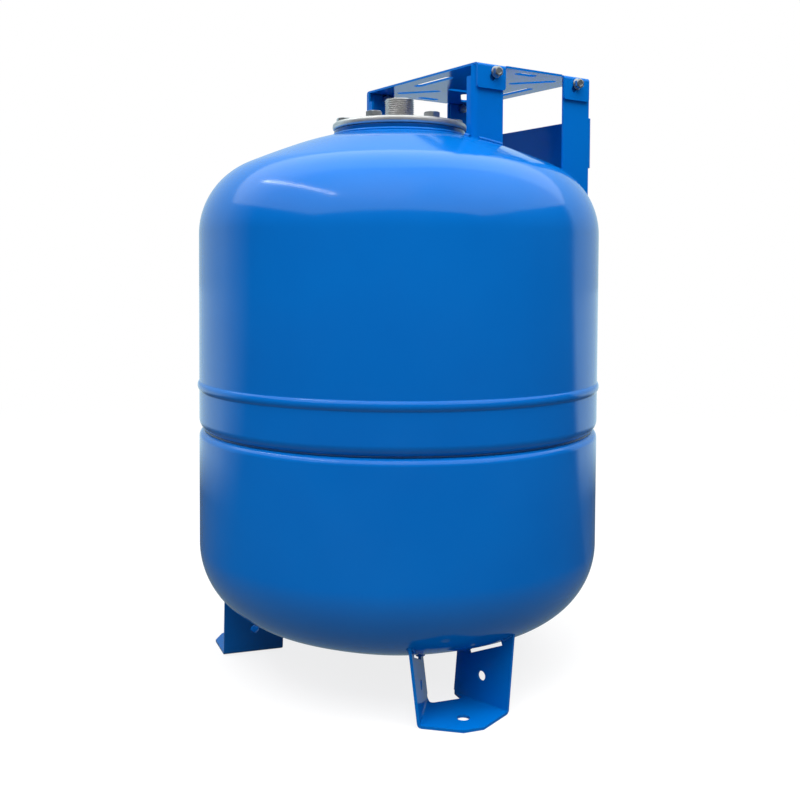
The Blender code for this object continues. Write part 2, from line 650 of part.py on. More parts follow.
def foot_notch_outline():
    """Plan of the notch at the back of a foot's floor plate, between the bends of its walls."""
    turn = math.radians(FOOT_WALL_TURN_DEG)
    side = FOOT_CORNER_HALF - FOOT_NOTCH_MARGIN / math.cos(turn)
    corner = FOOT_NOTCH_CORNER
    reach = FOOT_NOTCH_REACH - corner
    half = side - (FOOT_CORNER_REACH - reach) * math.tan(turn) - corner / math.cos(turn)
    back = FOOT_CORNER_REACH - 2 * FOOT_WALL_LENGTH
    back_half = max(half - (reach - back) * math.tan(turn), FOOT_NOTCH_CORNER)
    outline = [(back, -back_half)]
    outline += arc_points((reach, -half), corner, -90.0 - FOOT_WALL_TURN_DEG, 0.0, 4)
    outline += arc_points((reach, half), corner, 0.0, 90.0 + FOOT_WALL_TURN_DEG, 4)
    outline += [(back, back_half)]
    return outline


def wall_top_gap(sign):
    """Corners of the cut that leaves each wall's top clear of the head between its two welded tabs."""
    start, along, outward, up = foot_wall(sign)
    corners = []
    for distance in (FOOT_TAB_REAR, FOOT_WALL_LENGTH - FOOT_TAB_FRONT):
        corners.append((distance, wall_reach(start, along, up, distance) - FOOT_TOP_GAP))
    (d1, h1), (d2, h2) = corners
    slope = Vector((d2 - d1, h2 - h1)).normalized()
    rise = Vector((-slope.y, slope.x)) * 4 * FOOT_TOP_GAP
    corners += [(d2 + rise.x, h2 + rise.y), (d1 + rise.x, h1 + rise.y)]
    return [start + along * distance + up * height for distance, height in corners], along.cross(up)


def foot_cutter(name):
    """Everything that is cut out of a foot's sheet, except what the tank trims away."""
    bm = bmesh.new()
    for centre, axis, radius, length in foot_hole_cylinders():
        turn = Vector(axis).to_track_quat("Z", "Y").to_matrix().to_4x4()
        bmesh.ops.create_cone(bm, cap_ends=True, segments=16, radius1=radius, radius2=radius,
                              depth=length, matrix=Matrix.Translation(centre) @ turn)
    for sign in (1, -1):
        corners, axis = wall_top_gap(sign)
        rows = [[bm.verts.new(point + axis * (2 * FOOT_SHEET * end)) for point in corners] for end in (-1, 1)]
        ring_faces(bm, rows[0], rows[1])
        bm.faces.new(rows[0])
        bm.faces.new(rows[1])
    notch = foot_notch_outline()
    rows = [[bm.verts.new((x, y, end * 2 * FOOT_SHEET)) for x, y in notch] for end in (-1, 1)]
    ring_faces(bm, rows[0], rows[1])
    bm.faces.new(rows[0])
    bm.faces.new(rows[1])
    return hide_cutter(add_object(name, finish_mesh(name, bm), None))


def make_feet(paint, envelope):
    mesh_data = foot_mesh()
    for number in range(1, FOOT_COUNT + 1):
        turn = math.radians(FIRST_FOOT_DEG + 360.0 * (number - 1) / FOOT_COUNT)
        foot = add_object("foot_%d" % number, mesh_data, paint)
        foot.rotation_euler.z = turn
        solidify = foot.modifiers.new("sheet", "SOLIDIFY")
        solidify.thickness = FOOT_SHEET
        solidify.offset = -1.0
        solidify.use_even_offset = True
        cutter = foot_cutter("foot_cuts_%d" % number)
        cutter.rotation_euler.z = turn
        cut(foot, envelope)
        cut(foot, cutter)


PLATE_TOP_Z = FLANGE_TOP_Z + PLATE_ABOVE_FLANGE
PLATE_BOTTOM_Z = PLATE_TOP_Z - PLATE_SHEET
PLATE_BACK_Y = PLATE_FRONT_Y + PLATE_DEPTH
PLATE_CENTRE_Y = PLATE_FRONT_Y + PLATE_DEPTH / 2
POST_FACE_X = PLATE_WIDTH / 2 - PLATE_SHEET - SEAT_GAP
POST_TOP_Z = PLATE_BOTTOM_Z - POST_TOP_GAP
POST_BASE_Z = UPPER_TANGENT_Z
FRONT_BOLT_Y = PLATE_FRONT_Y + FRONT_BOLT_INSET
BACK_BOLT_Y = PLATE_BACK_Y - BACK_BOLT_INSET
BOLT_Z = PLATE_TOP_Z - EAR_BOLT_DROP


def prism(name, outline, bottom, top):
    """A closed outline in plan, as (x, y) points, raised from bottom to top."""
    bm = bmesh.new()
    rows = [[bm.verts.new((x, y, height)) for x, y in outline] for height in (bottom, top)]
    ring_faces(bm, rows[0], rows[1])
    bm.faces.new(rows[0])
    bm.faces.new(rows[1])
    return finish_mesh(name, bm)


def box_cutter(name, low, high):
    outline = [(low[0], low[1]), (high[0], low[1]), (high[0], high[1]), (low[0], high[1])]
    return hide_cutter(add_object(name, prism(name, outline, low[2], high[2]), None))


def post_hole(sign, bolt_y):
    centre = (sign * POST_FACE_X, bolt_y, BOLT_Z)
    return centre, (1, 0, 0), POST_HOLE_RADIUS, 8 * POST_SHEET


def front_post_outline(sign):
    """Plan of a front post: a side leg along Y and a narrow stiffening lip folded inwards along its front edge."""
    face = POST_FACE_X
    front = PLATE_FRONT_Y - POST_OVERHANG
    back = front + POST_WIDTH
    outer = POST_BEND_RADIUS
    inner = POST_BEND_RADIUS - POST_SHEET
    centre = (face - outer, front + outer)
    outline = [(face - LIP_WIDTH, front)]
    outline += arc_points(centre, outer, -90.0, 0.0, 4)
    outline += [(face, back), (face - POST_SHEET, back)]
    outline += arc_points(centre, inner, 0.0, -90.0, 4)
    outline += [(face - LIP_WIDTH, front + POST_SHEET)]
    return [(sign * x, y) for x, y in outline]


def make_front_posts(paint, envelope):
    front = PLATE_FRONT_Y - POST_OVERHANG
    lip_top = PLATE_TOP_Z - LIP_TOP_DROP
    for name, sign in (("front_post_right", 1), ("front_post_left", -1)):
        post = add_object(name, prism(name, front_post_outline(sign), POST_BASE_Z, POST_TOP_Z), paint)
        cut(post, envelope)
        inner_side = POST_FACE_X - POST_BEND_RADIUS
        reach = sorted((sign * inner_side, sign * (inner_side - LIP_WIDTH)))
        low = (reach[0], front - POST_SHEET, lip_top)
        high = (reach[1], front + 2 * POST_SHEET, POST_TOP_Z + POST_SHEET)
        cut(post, box_cutter("lip_top_" + name, low, high))
        cut(post, cylinder_cutter("hole_" + name, [post_hole(sign, FRONT_BOLT_Y)], 12))


def rear_leg_outline():
    """Plan of the rear leg: one sheet folded round both back corners, from one side leg to the other."""
    face = POST_FACE_X
    back = PLATE_BACK_Y + POST_OVERHANG + WEB_SETBACK
    front = back - WEB_SETBACK - POST_WIDTH
    outer = POST_BEND_RADIUS
    inner = POST_BEND_RADIUS - POST_SHEET
    outline = [(face, front)]
    outline += arc_points((face - outer, back - outer), outer, 0.0, 90.0, 4)
    outline += arc_points((outer - face, back - outer), outer, 90.0, 180.0, 4)
    outline += [(-face, front), (POST_SHEET - face, front)]
    outline += arc_points((outer - face, back - outer), inner, 180.0, 90.0, 4)
    outline += arc_points((face - outer, back - outer), inner, 90.0, 0.0, 4)
    outline += [(face - POST_SHEET, front)]
    return outline


def make_rear_leg(paint, envelope):
    leg = add_object("rear_leg", prism("rear_leg", rear_leg_outline(), POST_BASE_Z, POST_TOP_Z), paint)
    web_top = PLATE_TOP_Z - WEB_TOP_DROP
    web_bottom = web_top - WEB_HEIGHT
    cut_y = PLATE_BACK_Y + POST_OVERHANG
    wide = PLATE_WIDTH
    above = box_cutter("above_web", (-wide, cut_y, web_top), (wide, cut_y + wide, PLATE_TOP_Z + wide))
    below = box_cutter("below_web", (-wide, cut_y, POST_BASE_Z - wide), (wide, cut_y + wide, web_bottom))
    cut(leg, envelope)
    cut(leg, above)
    cut(leg, below)
    holes = [post_hole(1, BACK_BOLT_Y), post_hole(-1, BACK_BOLT_Y)]
    cut(leg, cylinder_cutter("hole_rear_leg", holes, 12))
    return leg


def slot_prism(bm, centre, axis, along, length, width, depth, steps=4):
    """Add a round-ended slot to a cutter. Axis is the way it cuts, along is the way it runs."""
    axis = Vector(axis).normalized()
    along = Vector(along).normalized()
    across = axis.cross(along)
    half = (length - width) / 2
    outline = []
    for side, start in ((1, -90.0), (-1, 90.0)):
        for i in range(steps + 1):
            turn = math.radians(start + 180.0 * i / steps)
            offset = along * (side * half + width / 2 * math.cos(turn)) + across * (width / 2 * math.sin(turn))
            outline.append(Vector(centre) + offset)
    rows = [[bm.verts.new(point + axis * (depth / 2 * end)) for point in outline] for end in (-1, 1)]
    ring_faces(bm, rows[0], rows[1])
    bm.faces.new(rows[0])
    bm.faces.new(rows[1])


def plate_slots():
    """Centre, length and direction of each slot of the pump plate, in degrees from X."""
    slots = []
    for sx in (1, -1):
        for sy in (1, -1):
            place = (sx * FAN_SLOT_X, PLATE_CENTRE_Y + sy * FAN_SLOT_Y)
            slots.append((place, FAN_SLOT_LENGTH, sx * sy * FAN_SLOT_DEG))
        slots.append(((sx * SIDE_SLOT_X, PLATE_CENTRE_Y), SIDE_SLOT_LENGTH, 90.0))
        slots.append(((sx * INNER_SLOT_X, PLATE_CENTRE_Y), INNER_SLOT_LENGTH, 90.0))
        slots.append(((0.0, PLATE_CENTRE_Y + sx * CROSS_SLOT_Y), CROSS_SLOT_LENGTH, 0.0))
    return slots


def plate_slot_cutter():
    bm = bmesh.new()
    for (x, y), length, turn in plate_slots():
        along = (math.cos(math.radians(turn)), math.sin(math.radians(turn)), 0.0)
        slot_prism(bm, (x, y, PLATE_BOTTOM_Z), (0, 0, 1), along, length, SLOT_WIDTH, 6 * PLATE_SHEET)
    for sign in (1, -1):
        for bolt_y in (FRONT_BOLT_Y, BACK_BOLT_Y):
            run = Vector((0.0, -math.cos(math.radians(EAR_SLOT_DEG)), -math.sin(math.radians(EAR_SLOT_DEG))))
            centre = Vector((sign * PLATE_WIDTH / 2, bolt_y, BOLT_Z)) + run * (EAR_SLOT_LENGTH - EAR_SLOT_WIDTH) / 2
            slot_prism(bm, centre, (1, 0, 0), run, EAR_SLOT_LENGTH, EAR_SLOT_WIDTH, 4 * PLATE_SHEET)
    return hide_cutter(add_object("plate_slots", finish_mesh("plate_slots", bm), None))


def ear_side(bm, bend_x, sign, front, back):
    """Add one ear's outer face, folded down from the plate, and give its two points on the bend line."""
    steps = 3
    side_x = bend_x + PLATE_BEND_RADIUS
    rows = []
    for i in range(steps + 1):
        turn = math.pi / 2 * i / steps
        x = bend_x + PLATE_BEND_RADIUS * math.sin(turn)
        z = PLATE_TOP_Z - PLATE_BEND_RADIUS * (1.0 - math.cos(turn))
        rows.append([bm.verts.new((sign * x, y, z)) for y in (front, back)])
    for first, second in zip(rows, rows[1:]):
        bm.faces.new((first[0], first[1], second[1], second[0]))
    bottom = PLATE_TOP_Z - EAR_DROP
    corner = EAR_CORNER_RADIUS
    outline = arc_points((back - corner, bottom + corner), corner, 0.0, -90.0, 3)
    outline += arc_points((front + corner, bottom + corner), corner, -90.0, -180.0, 3)
    lower = [bm.verts.new((sign * side_x, y, z)) for y, z in outline]
    bm.faces.new([rows[-1][0], rows[-1][1]] + lower)
    return rows[0]


def make_pump_plate(paint):
    """Flat slotted plate with four ears folded down at its corners, one to each post."""
    bm = bmesh.new()
    bend_x = PLATE_WIDTH / 2 - PLATE_BEND_RADIUS
    edge_x = PLATE_WIDTH / 2 - EDGE_SETBACK
    ears = ((PLATE_FRONT_Y, PLATE_FRONT_Y + EAR_WIDTH), (PLATE_BACK_Y - EAR_WIDTH, PLATE_BACK_Y))
    sides = {}
    for sign in (1, -1):
        near = ear_side(bm, bend_x, sign, *ears[0])
        far = ear_side(bm, bend_x, sign, *ears[1])
        gap_start = ears[0][1] + EAR_RELIEF
        gap_end = ears[1][0] - EAR_RELIEF
        middle = [(bend_x, gap_start), (edge_x, gap_start), (edge_x, gap_end), (bend_x, gap_end)]
        between = [bm.verts.new((sign * x, y, PLATE_TOP_Z)) for x, y in middle]
        sides[sign] = near + between + far
    bm.faces.new(sides[1] + sides[-1][::-1])
    bmesh.ops.recalc_face_normals(bm, faces=bm.faces)
    top_face = max(bm.faces, key=lambda face: face.calc_area())
    if top_face.normal.z < 0:
        bmesh.ops.reverse_faces(bm, faces=bm.faces)
    mesh_data = bpy.data.meshes.new("pump_plate")
    bm.to_mesh(mesh_data)
    bm.free()
    mesh_data.shade_smooth()
    mesh_data.set_sharp_from_angle(angle=math.radians(35.0))
    plate = add_object("pump_plate", mesh_data, paint)
    solidify = plate.modifiers.new("sheet", "SOLIDIFY")
    solidify.thickness = PLATE_SHEET
    solidify.offset = -1.0
    solidify.use_even_offset = True
    cut(plate, plate_slot_cutter())
    return plate


def make_bracket_fasteners(zinc):
    """A flanged bolt through each ear and post, with its nut on the inside."""
    grip = PLATE_SHEET + SEAT_GAP + POST_SHEET
    length = grip + EAR_NUT_GAP + EAR_NUT_HEIGHT + EAR_BOLT_STICKOUT
    bolt = bolt_mesh("bracket_bolt", EAR_BOLT_RADIUS, length, EAR_BOLT_FLATS, EAR_BOLT_HEAD,
                     EAR_BOLT_FLANGE_RADIUS, EAR_BOLT_FLANGE)
    nut = nut_mesh("bracket_nut", EAR_BOLT_RADIUS + SEAT_GAP, EAR_BOLT_FLATS, EAR_NUT_HEIGHT)
    number = 0
    for sign in (1, -1):
        for bolt_y in (FRONT_BOLT_Y, BACK_BOLT_Y):
            number += 1
            turn = math.pi / 2 * sign
            bolt_object = add_object("bracket_bolt_%d" % number, bolt, zinc)
            bolt_object.location = (sign * (PLATE_WIDTH / 2 + SEAT_GAP), bolt_y, BOLT_Z)
            bolt_object.rotation_euler = (0.0, turn, 0.0)
            nut_object = add_object("bracket_nut_%d" % number, nut, zinc)
            nut_object.location = (sign * (POST_FACE_X - POST_SHEET - EAR_NUT_GAP), bolt_y, BOLT_Z)
            nut_object.rotation_euler = (0.0, -turn, 0.0)


def main():
    clear_scene()
    paint = make_material("blue_enamel", (0.0, 0.20, 0.62), 0.22, 0.0)
    bright_steel = make_material("bright_steel", (0.62, 0.60, 0.57), 0.32, 1.0)
    zinc = make_material("zinc_plate", (0.66, 0.67, 0.68), 0.38, 1.0)
    rubber = make_material("black_rubber", (0.02, 0.02, 0.02), 0.7, 0.0)
    brass = make_material("brass", (0.70, 0.52, 0.22), 0.35, 1.0)
    plastic = make_material("black_plastic", (0.03, 0.03, 0.03), 0.45, 0.0)

    make_upper_shell(paint)
    make_lower_shell(paint)
    make_seam_weld(paint)
    make_neck_ring(paint)
    make_flange_plate(bright_steel)
    make_water_nipple(bright_steel)
    make_flange_bolts(zinc)
    make_bladder(rubber)
    make_air_valve(brass, zinc, plastic)

    envelope = make_tank_envelope()
    make_feet(paint, envelope)
    make_front_posts(paint, envelope)
    make_rear_leg(paint, envelope)
    make_pump_plate(paint)
    make_bracket_fasteners(zinc)


main()
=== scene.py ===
# %% [markdown]
# # Dressing a well pressure tank
#
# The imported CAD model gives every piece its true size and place, but its round parts are faceted
# and its edges are sharp. This lesson keeps that frame and makes, piece by piece, what the eye
# expects: smooth enamelled shells, rolled and welded seams, a cut pipe thread, chamfered bolts,
# softened sheet edges and a studio that shows the gloss.

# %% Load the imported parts
import math

import bmesh
import bpy
from mathutils import Matrix, Vector


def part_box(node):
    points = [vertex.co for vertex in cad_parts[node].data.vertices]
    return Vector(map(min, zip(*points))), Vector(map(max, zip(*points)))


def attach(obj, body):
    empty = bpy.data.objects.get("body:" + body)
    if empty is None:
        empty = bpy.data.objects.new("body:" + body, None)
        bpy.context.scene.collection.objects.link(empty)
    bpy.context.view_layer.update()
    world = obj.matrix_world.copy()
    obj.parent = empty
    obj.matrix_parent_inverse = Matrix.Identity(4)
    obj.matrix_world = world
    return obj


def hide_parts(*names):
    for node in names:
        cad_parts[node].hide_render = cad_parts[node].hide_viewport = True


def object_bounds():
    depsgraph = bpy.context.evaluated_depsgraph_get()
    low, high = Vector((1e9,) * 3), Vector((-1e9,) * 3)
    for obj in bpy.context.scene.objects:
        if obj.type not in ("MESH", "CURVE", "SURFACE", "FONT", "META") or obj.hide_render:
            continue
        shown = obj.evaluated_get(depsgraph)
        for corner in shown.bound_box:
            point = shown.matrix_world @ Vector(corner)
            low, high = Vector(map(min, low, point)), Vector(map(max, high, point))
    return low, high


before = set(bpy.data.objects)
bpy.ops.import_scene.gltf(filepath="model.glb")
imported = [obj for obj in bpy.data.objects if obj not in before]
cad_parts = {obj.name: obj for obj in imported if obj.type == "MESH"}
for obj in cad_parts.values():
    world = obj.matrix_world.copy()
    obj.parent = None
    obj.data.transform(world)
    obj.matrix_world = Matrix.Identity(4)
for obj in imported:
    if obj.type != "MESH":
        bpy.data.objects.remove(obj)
cad_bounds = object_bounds()
print("CAD nodes:", len(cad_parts))


# %% [markdown]
# ## Helpers for meshes
#
# Nearly every round piece of a tank is turned or pressed about one axis, so a stack of rings joined
# by faces does most of the work, and a lathe is the plain case of it. Each finished piece holds its
# place in its mesh, with its object at the origin, so that patterns on Object coordinates stay put.
# Edges sharper than a limit stay crisp, and the others are shaded smooth.

# %% Add a piece and make it ride on the tank
SHARP_DEG = 40.0


def new_object(name, data):
    made = bpy.data.objects.new(name, data)
    bpy.context.scene.collection.objects.link(made)
    return made


def add_piece(name, mesh, material, stands_for=(), sharp_deg=SHARP_DEG):
    mesh.materials.clear()
    mesh.materials.append(material)
    mesh.shade_smooth()
    mesh.set_sharp_from_angle(angle=math.radians(sharp_deg))
    piece = new_object(name, mesh)
    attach(piece, "root")
    if stands_for:
        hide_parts(*stands_for)
    print(name, "has", sum(len(face.vertices) - 2 for face in mesh.polygons), "triangles")
    return piece


# %% Skin a stack of rings
def ring_at(radius, height, sides):
    turns = [math.tau * i / sides for i in range(sides)]
    return [Vector((radius * math.cos(a), radius * math.sin(a), height)) for a in turns]


def skin_rings(name, rings, loop=False):
    """Join rings of equal count. A ring of one point closes an end, and a loop joins last to first."""
    shape = bmesh.new()
    rows = [[shape.verts.new(point) for point in ring] for ring in rings]
    pairs = list(zip(rows, rows[1:])) + ([(rows[-1], rows[0])] if loop else [])
    for first, second in pairs:
        sides = max(len(first), len(second))
        for i in range(sides):
            j = (i + 1) % sides
            if len(first) == 1:
                shape.faces.new((first[0], second[i], second[j]))
            elif len(second) == 1:
                shape.faces.new((first[i], second[0], first[j]))
            else:
                shape.faces.new((first[i], second[i], second[j], first[j]))
    bmesh.ops.recalc_face_normals(shape, faces=shape.faces)
    mesh = bpy.data.meshes.new(name)
    shape.to_mesh(mesh)
    shape.free()
    return mesh


# %% Turn a profile about the tank's axis
def lathe(name, profile, sides):
    """Profile points are (radius, height). The last one joins the first."""
    return skin_rings(name, [ring_at(radius, height, sides) for radius, height in profile], True)


def arc(centre, radius, start_deg, end_deg, steps):
    """Points on an arc, both ends included."""
    points = []
    for i in range(steps + 1):
        angle = math.radians(start_deg + (end_deg - start_deg) * i / steps)
        points.append((centre[0] + radius * math.cos(angle), centre[1] + radius * math.sin(angle)))
    return points


# %% [markdown]
# ## Blue enamel
#
# The shells, feet and bracket are sprayed and baked in one coat of glossy blue. Under a raking
# light such paint is never flat: it has a fine orange peel, and the drawn sheet below it rolls
# gently. Two noises drive one bump each, and two more shift the colour and the gloss a little. The
# folded sheet mirrors less than the shells. The neck ring and the girth weld get a darker blue,
# which is painted shade: under the flange on the ring, and deep in the groove on the weld. The
# weld's coat has stronger bumps, and its lumps show through it.

# %% Start a procedural material and add nodes to it
def start_material(name, roughness, metallic=0.0):
    material = bpy.data.materials.new(name)
    material.use_nodes = True
    tree = material.node_tree
    shader = tree.nodes["Principled BSDF"]
    shader.inputs["Roughness"].default_value = roughness
    shader.inputs["Metallic"].default_value = metallic
    coordinates = tree.nodes.new("ShaderNodeTexCoord")
    return material, tree, shader, coordinates.outputs["Object"]


def node(tree, kind, links=None, **settings):
    """Add a node, set its properties and input values, and link what is given as a socket."""
    made = tree.nodes.new(kind)
    for key, value in settings.items():
        setattr(made, key, value)
    for key, value in (links or {}).items():
        if isinstance(value, bpy.types.NodeSocket):
            tree.links.new(value, made.inputs[key])
        else:
            made.inputs[key].default_value = value
    return made


# %% Shorten the nodes that every finish needs
NOISE_SPAN = (0.3, 0.7)


def noise(tree, place, scale, detail, stretch=None):
    if stretch is not None:
        mapping = node(tree, "ShaderNodeMapping", {"Vector": place, "Scale": stretch})
        place = mapping.outputs["Vector"]
    texture = node(tree, "ShaderNodeTexNoise", {"Vector": place, "Scale": scale, "Detail": detail})
    return texture.outputs["Fac"]


def map_range(tree, value, low, high, out_low=0.0, out_high=1.0):
    ends = {"Value": value, "From Min": low, "From Max": high, "To Min": out_low, "To Max": out_high}
    return node(tree, "ShaderNodeMapRange", ends).outputs["Result"]


def drift(tree, place, scale, detail, low=0.0, high=1.0):
    """A value that drifts over the piece. Most of a noise lies in its span, which is stretched."""
    return map_range(tree, noise(tree, place, scale, detail), *NOISE_SPAN, low, high)


def mix_colours(tree, factor, first, second):
    ends = {"Factor": factor, "A": (*first, 1.0), "B": (*second, 1.0)}
    return node(tree, "ShaderNodeMix", ends, data_type="RGBA").outputs["Result"]


def drifting_colour(tree, shader, place, scale, detail, dark, light):
    mixed = mix_colours(tree, drift(tree, place, scale, detail), dark, light)
    tree.links.new(mixed, shader.inputs["Base Color"])


def add_bump(tree, height, distance, strength, below=None):
    bump = node(tree, "ShaderNodeBump", {"Height": height, "Distance": distance, "Strength": strength})
    if below is not None:
        tree.links.new(below, bump.inputs["Normal"])
    return bump.outputs["Normal"]


# %% Make the enamel
PEEL_SCALE = 420.0
PEEL_DEPTH = 0.0004
ROLL_SCALE = 13.0
ROLL_DEPTH = 0.004
ROLL_STRETCH = (1.0, 1.0, 0.45)
TONE_SCALE = 5.0
GLOSS_SCALE = 11.0
ENAMEL_ROUGHNESS = (0.09, 0.17)


def make_enamel(name, deep, light, peel, roll, mirror=0.5):
    """Peel and roll are the strengths of the two bumps, and mirror is the specular level."""
    material, tree, shader, place = start_material(name, 0.2)
    shader.inputs["Specular IOR Level"].default_value = mirror
    drifting_colour(tree, shader, place, TONE_SCALE, 3.0, deep, light)
    gloss = drift(tree, place, GLOSS_SCALE, 4.0, *ENAMEL_ROUGHNESS)
    tree.links.new(gloss, shader.inputs["Roughness"])
    rolled = add_bump(tree, noise(tree, place, ROLL_SCALE, 1.0, ROLL_STRETCH), ROLL_DEPTH, roll)
    peeled = add_bump(tree, noise(tree, place, PEEL_SCALE, 1.0), PEEL_DEPTH, peel, rolled)
    tree.links.new(peeled, shader.inputs["Normal"])
    return material


DEEP_BLUE = (0.0, 0.126, 0.490)
LIGHT_BLUE = (0.0, 0.146, 0.540)
# Painted shade: the ring's blues are darker than the shells' for the shade under the flange.
RING_SHADE_PAINTED_BLUES = ((0.0, 0.050, 0.215), (0.0, 0.060, 0.250))
# Painted shade: the weld's blues are darker still for the shade deep in the seam's groove.
SEAM_SHADE_PAINTED_BLUES = ((0.0, 0.042, 0.165), (0.001, 0.062, 0.215))

enamel = make_enamel("blue_enamel", DEEP_BLUE, LIGHT_BLUE, 0.06, 0.08)
sheet_enamel = make_enamel("blue_enamel_on_sheet", DEEP_BLUE, LIGHT_BLUE, 0.10, 0.06, 0.14)
# The ring's enamel carries painted shade from under the flange.
ring_enamel_with_painted_shade = make_enamel("enamel_with_painted_shade_on_ring", *RING_SHADE_PAINTED_BLUES, 0.10, 0.06, 0.3)
# The weld's enamel carries painted shade from its groove and has stronger bumps.
weld_enamel_with_painted_shade = make_enamel("enamel_with_painted_shade_on_weld", *SEAM_SHADE_PAINTED_BLUES, 0.30, 0.30)
print("enamels:", enamel.name, sheet_enamel.name, ring_enamel_with_painted_shade.name, weld_enamel_with_painted_shade.name)

# %% [markdown]
# ## Metals and rubber
#
# The flange is turned and then plated, so it is satin, with marks that run round the axis, while
# the nipple is plain rolled pipe and the bolts are zinc plated, with the soft cloudiness of
# plating. Rings of a wave texture, read from Object coordinates, stay centred on the tank's axis
# and give the turning marks.

# %% Make the turned steel of the flange
FLANGE_GREYS = ((0.62, 0.61, 0.59), (0.74, 0.73, 0.71))
FLANGE_ROUGHNESS = (0.34, 0.50)
TURNING_SCALE = 260.0
MARK_DEPTH = 0.0002


def make_turned_steel():
    material, tree, shader, place = start_material("turned_steel", 0.28, 0.85)
    drifting_colour(tree, shader, place, 60.0, 4.0, *FLANGE_GREYS)
    marks = {"Vector": place, "Scale": TURNING_SCALE, "Distortion": 0.6}
    rings = node(tree, "ShaderNodeTexWave", marks, wave_type="RINGS", rings_direction="Z")
    tree.links.new(add_bump(tree, rings.outputs["Fac"], MARK_DEPTH, 0.12), shader.inputs["Normal"])
    tree.links.new(drift(tree, place, 35.0, 5.0, *FLANGE_ROUGHNESS), shader.inputs["Roughness"])
    return material


# %% Make the plated and plain metals
def make_cloudy_metal(name, dark, bright, roughness, scale, spread=0.12):
    """The gloss drifts in finer clouds than the colour, and the bump is finer still."""
    material, tree, shader, place = start_material(name, roughness, 1.0)
    drifting_colour(tree, shader, place, scale, 4.0, dark, bright)
    gloss = drift(tree, place, scale * 2.2, 3.0, roughness - spread / 2, roughness + spread)
    tree.links.new(gloss, shader.inputs["Roughness"])
    grain = noise(tree, place, scale * 9.0, 2.0)
    tree.links.new(add_bump(tree, grain, MARK_DEPTH, 0.15), shader.inputs["Normal"])
    return material


turned_steel = make_turned_steel()
pipe_steel = make_cloudy_metal("pipe_steel", (0.56, 0.55, 0.55), (0.72, 0.71, 0.71), 0.32, 90.0)
zinc = make_cloudy_metal("zinc_plate", (0.50, 0.51, 0.53), (0.68, 0.69, 0.71), 0.34, 120.0)
brass = make_cloudy_metal("brass", (0.62, 0.43, 0.16), (0.76, 0.56, 0.25), 0.3, 150.0)


# %% Make the rubber and the cap's plastic
def make_dull(name, dark, light, roughness, scale, bump):
    material, tree, shader, place = start_material(name, roughness)
    drifting_colour(tree, shader, place, scale, 4.0, dark, light)
    grain = noise(tree, place, scale * 8.0, 3.0)
    tree.links.new(add_bump(tree, grain, 0.0003, bump), shader.inputs["Normal"])
    return material


rubber = make_dull("bladder_rubber", (0.012, 0.012, 0.013), (0.024, 0.024, 0.025), 0.62, 40.0, 0.3)
cap_plastic = make_dull("cap_plastic", (0.02, 0.02, 0.022), (0.032, 0.032, 0.034), 0.42, 200.0, 0.15)
print("metals and dull finishes are ready")

# %% [markdown]
# ## The pressed shells
#
# The tank is two deep-drawn shells. Each ends in a dished head, which is a flat crown, a nearly
# straight cone and a tight knuckle, all tangent to each other. Three arcs give its outline, as
# finely as the render needs. The CAD solid is faceted, and gloss would show every facet, so a fine
# lathe takes its place on the same sizes.

# %% Measure the shells
CROWN_RADIUS = 0.356
CROWN_REACH = 0.125
BAND_RADIUS = 1.19
KNUCKLE_RADIUS = 0.085
SHELL_WALL = 0.0018
FIT_GAP = 0.0003
SHELL_SIDES = 192

lower_low, lower_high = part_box("lower_shell")
upper_low, upper_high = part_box("upper_shell")
tank_radius = lower_high.x
floor_clearance = lower_low.z
crown_angle = math.asin(CROWN_REACH / CROWN_RADIUS)
knuckle_centre = tank_radius - KNUCKLE_RADIUS
band_angle = math.asin(
    (knuckle_centre - CROWN_REACH + BAND_RADIUS * math.sin(crown_angle)) / (BAND_RADIUS - KNUCKLE_RADIUS)
)
band_bottom = KNUCKLE_RADIUS * math.cos(band_angle)
band_top = band_bottom + BAND_RADIUS * (math.cos(crown_angle) - math.cos(band_angle))
head_rise = band_top + CROWN_RADIUS * (1.0 - math.cos(crown_angle))
lower_tangent = floor_clearance + head_rise
print("tank radius %.4f, head rise %.4f" % (tank_radius, head_rise))


# %% Draw a head's outline
OUTER_STEPS = (14, 4, 26)
INNER_STEPS = (4, 2, 10)


def head_points(inner_radius, offset=0.0, steps=OUTER_STEPS):
    """(radius, rise above the tangent line) from the inner radius out to the straight wall.
    The steps are those of the crown, the band and the knuckle. An offset gives the inner face."""
    section = []
    start = math.asin(inner_radius / CROWN_RADIUS)
    for i in range(steps[0]):
        angle = start + (crown_angle - start) * i / steps[0]
        rise = band_top + CROWN_RADIUS * (math.cos(angle) - math.cos(crown_angle))
        section.append((CROWN_RADIUS * math.sin(angle), rise, angle))
    for i in range(steps[1]):
        angle = crown_angle + (band_angle - crown_angle) * i / steps[1]
        radius = CROWN_REACH + BAND_RADIUS * (math.sin(angle) - math.sin(crown_angle))
        rise = band_top + BAND_RADIUS * (math.cos(angle) - math.cos(crown_angle))
        section.append((radius, rise, angle))
    for i in range(steps[2] + 1):
        angle = band_angle + (math.pi / 2 - band_angle) * i / steps[2]
        radius = knuckle_centre + KNUCKLE_RADIUS * math.sin(angle)
        section.append((radius, KNUCKLE_RADIUS * math.cos(angle), angle))
    return [(r + offset * math.sin(a), rise + offset * math.cos(a)) for r, rise, a in section]


def head_rise_at(radius):
    """Rise of the head's outer face above the tangent line at a radius."""
    points = head_points(0.0)
    for (r1, h1), (r2, h2) in zip(points, points[1:]):
        if r1 <= radius <= r2:
            return h1 + (h2 - h1) * (radius - r1) / (r2 - r1)
    return 0.0


# %% [markdown]
# ### Bead, seam and shoulder
#
# A rolled bead stiffens the upper shell. It is a low round rib, whose lower flank looks down into
# the shade: the photograph shows it as a bright line with a dark one below. Its feet run softly into
# the wall, so a ring of points above and below it keeps the wall's own shading flat. The skirt's end
# curls in, the lower shell's shoulder is rounded over to meet it, and the girth weld lies deep in the
# groove between them. The solids have a plain step there, and these finer outlines take its place.

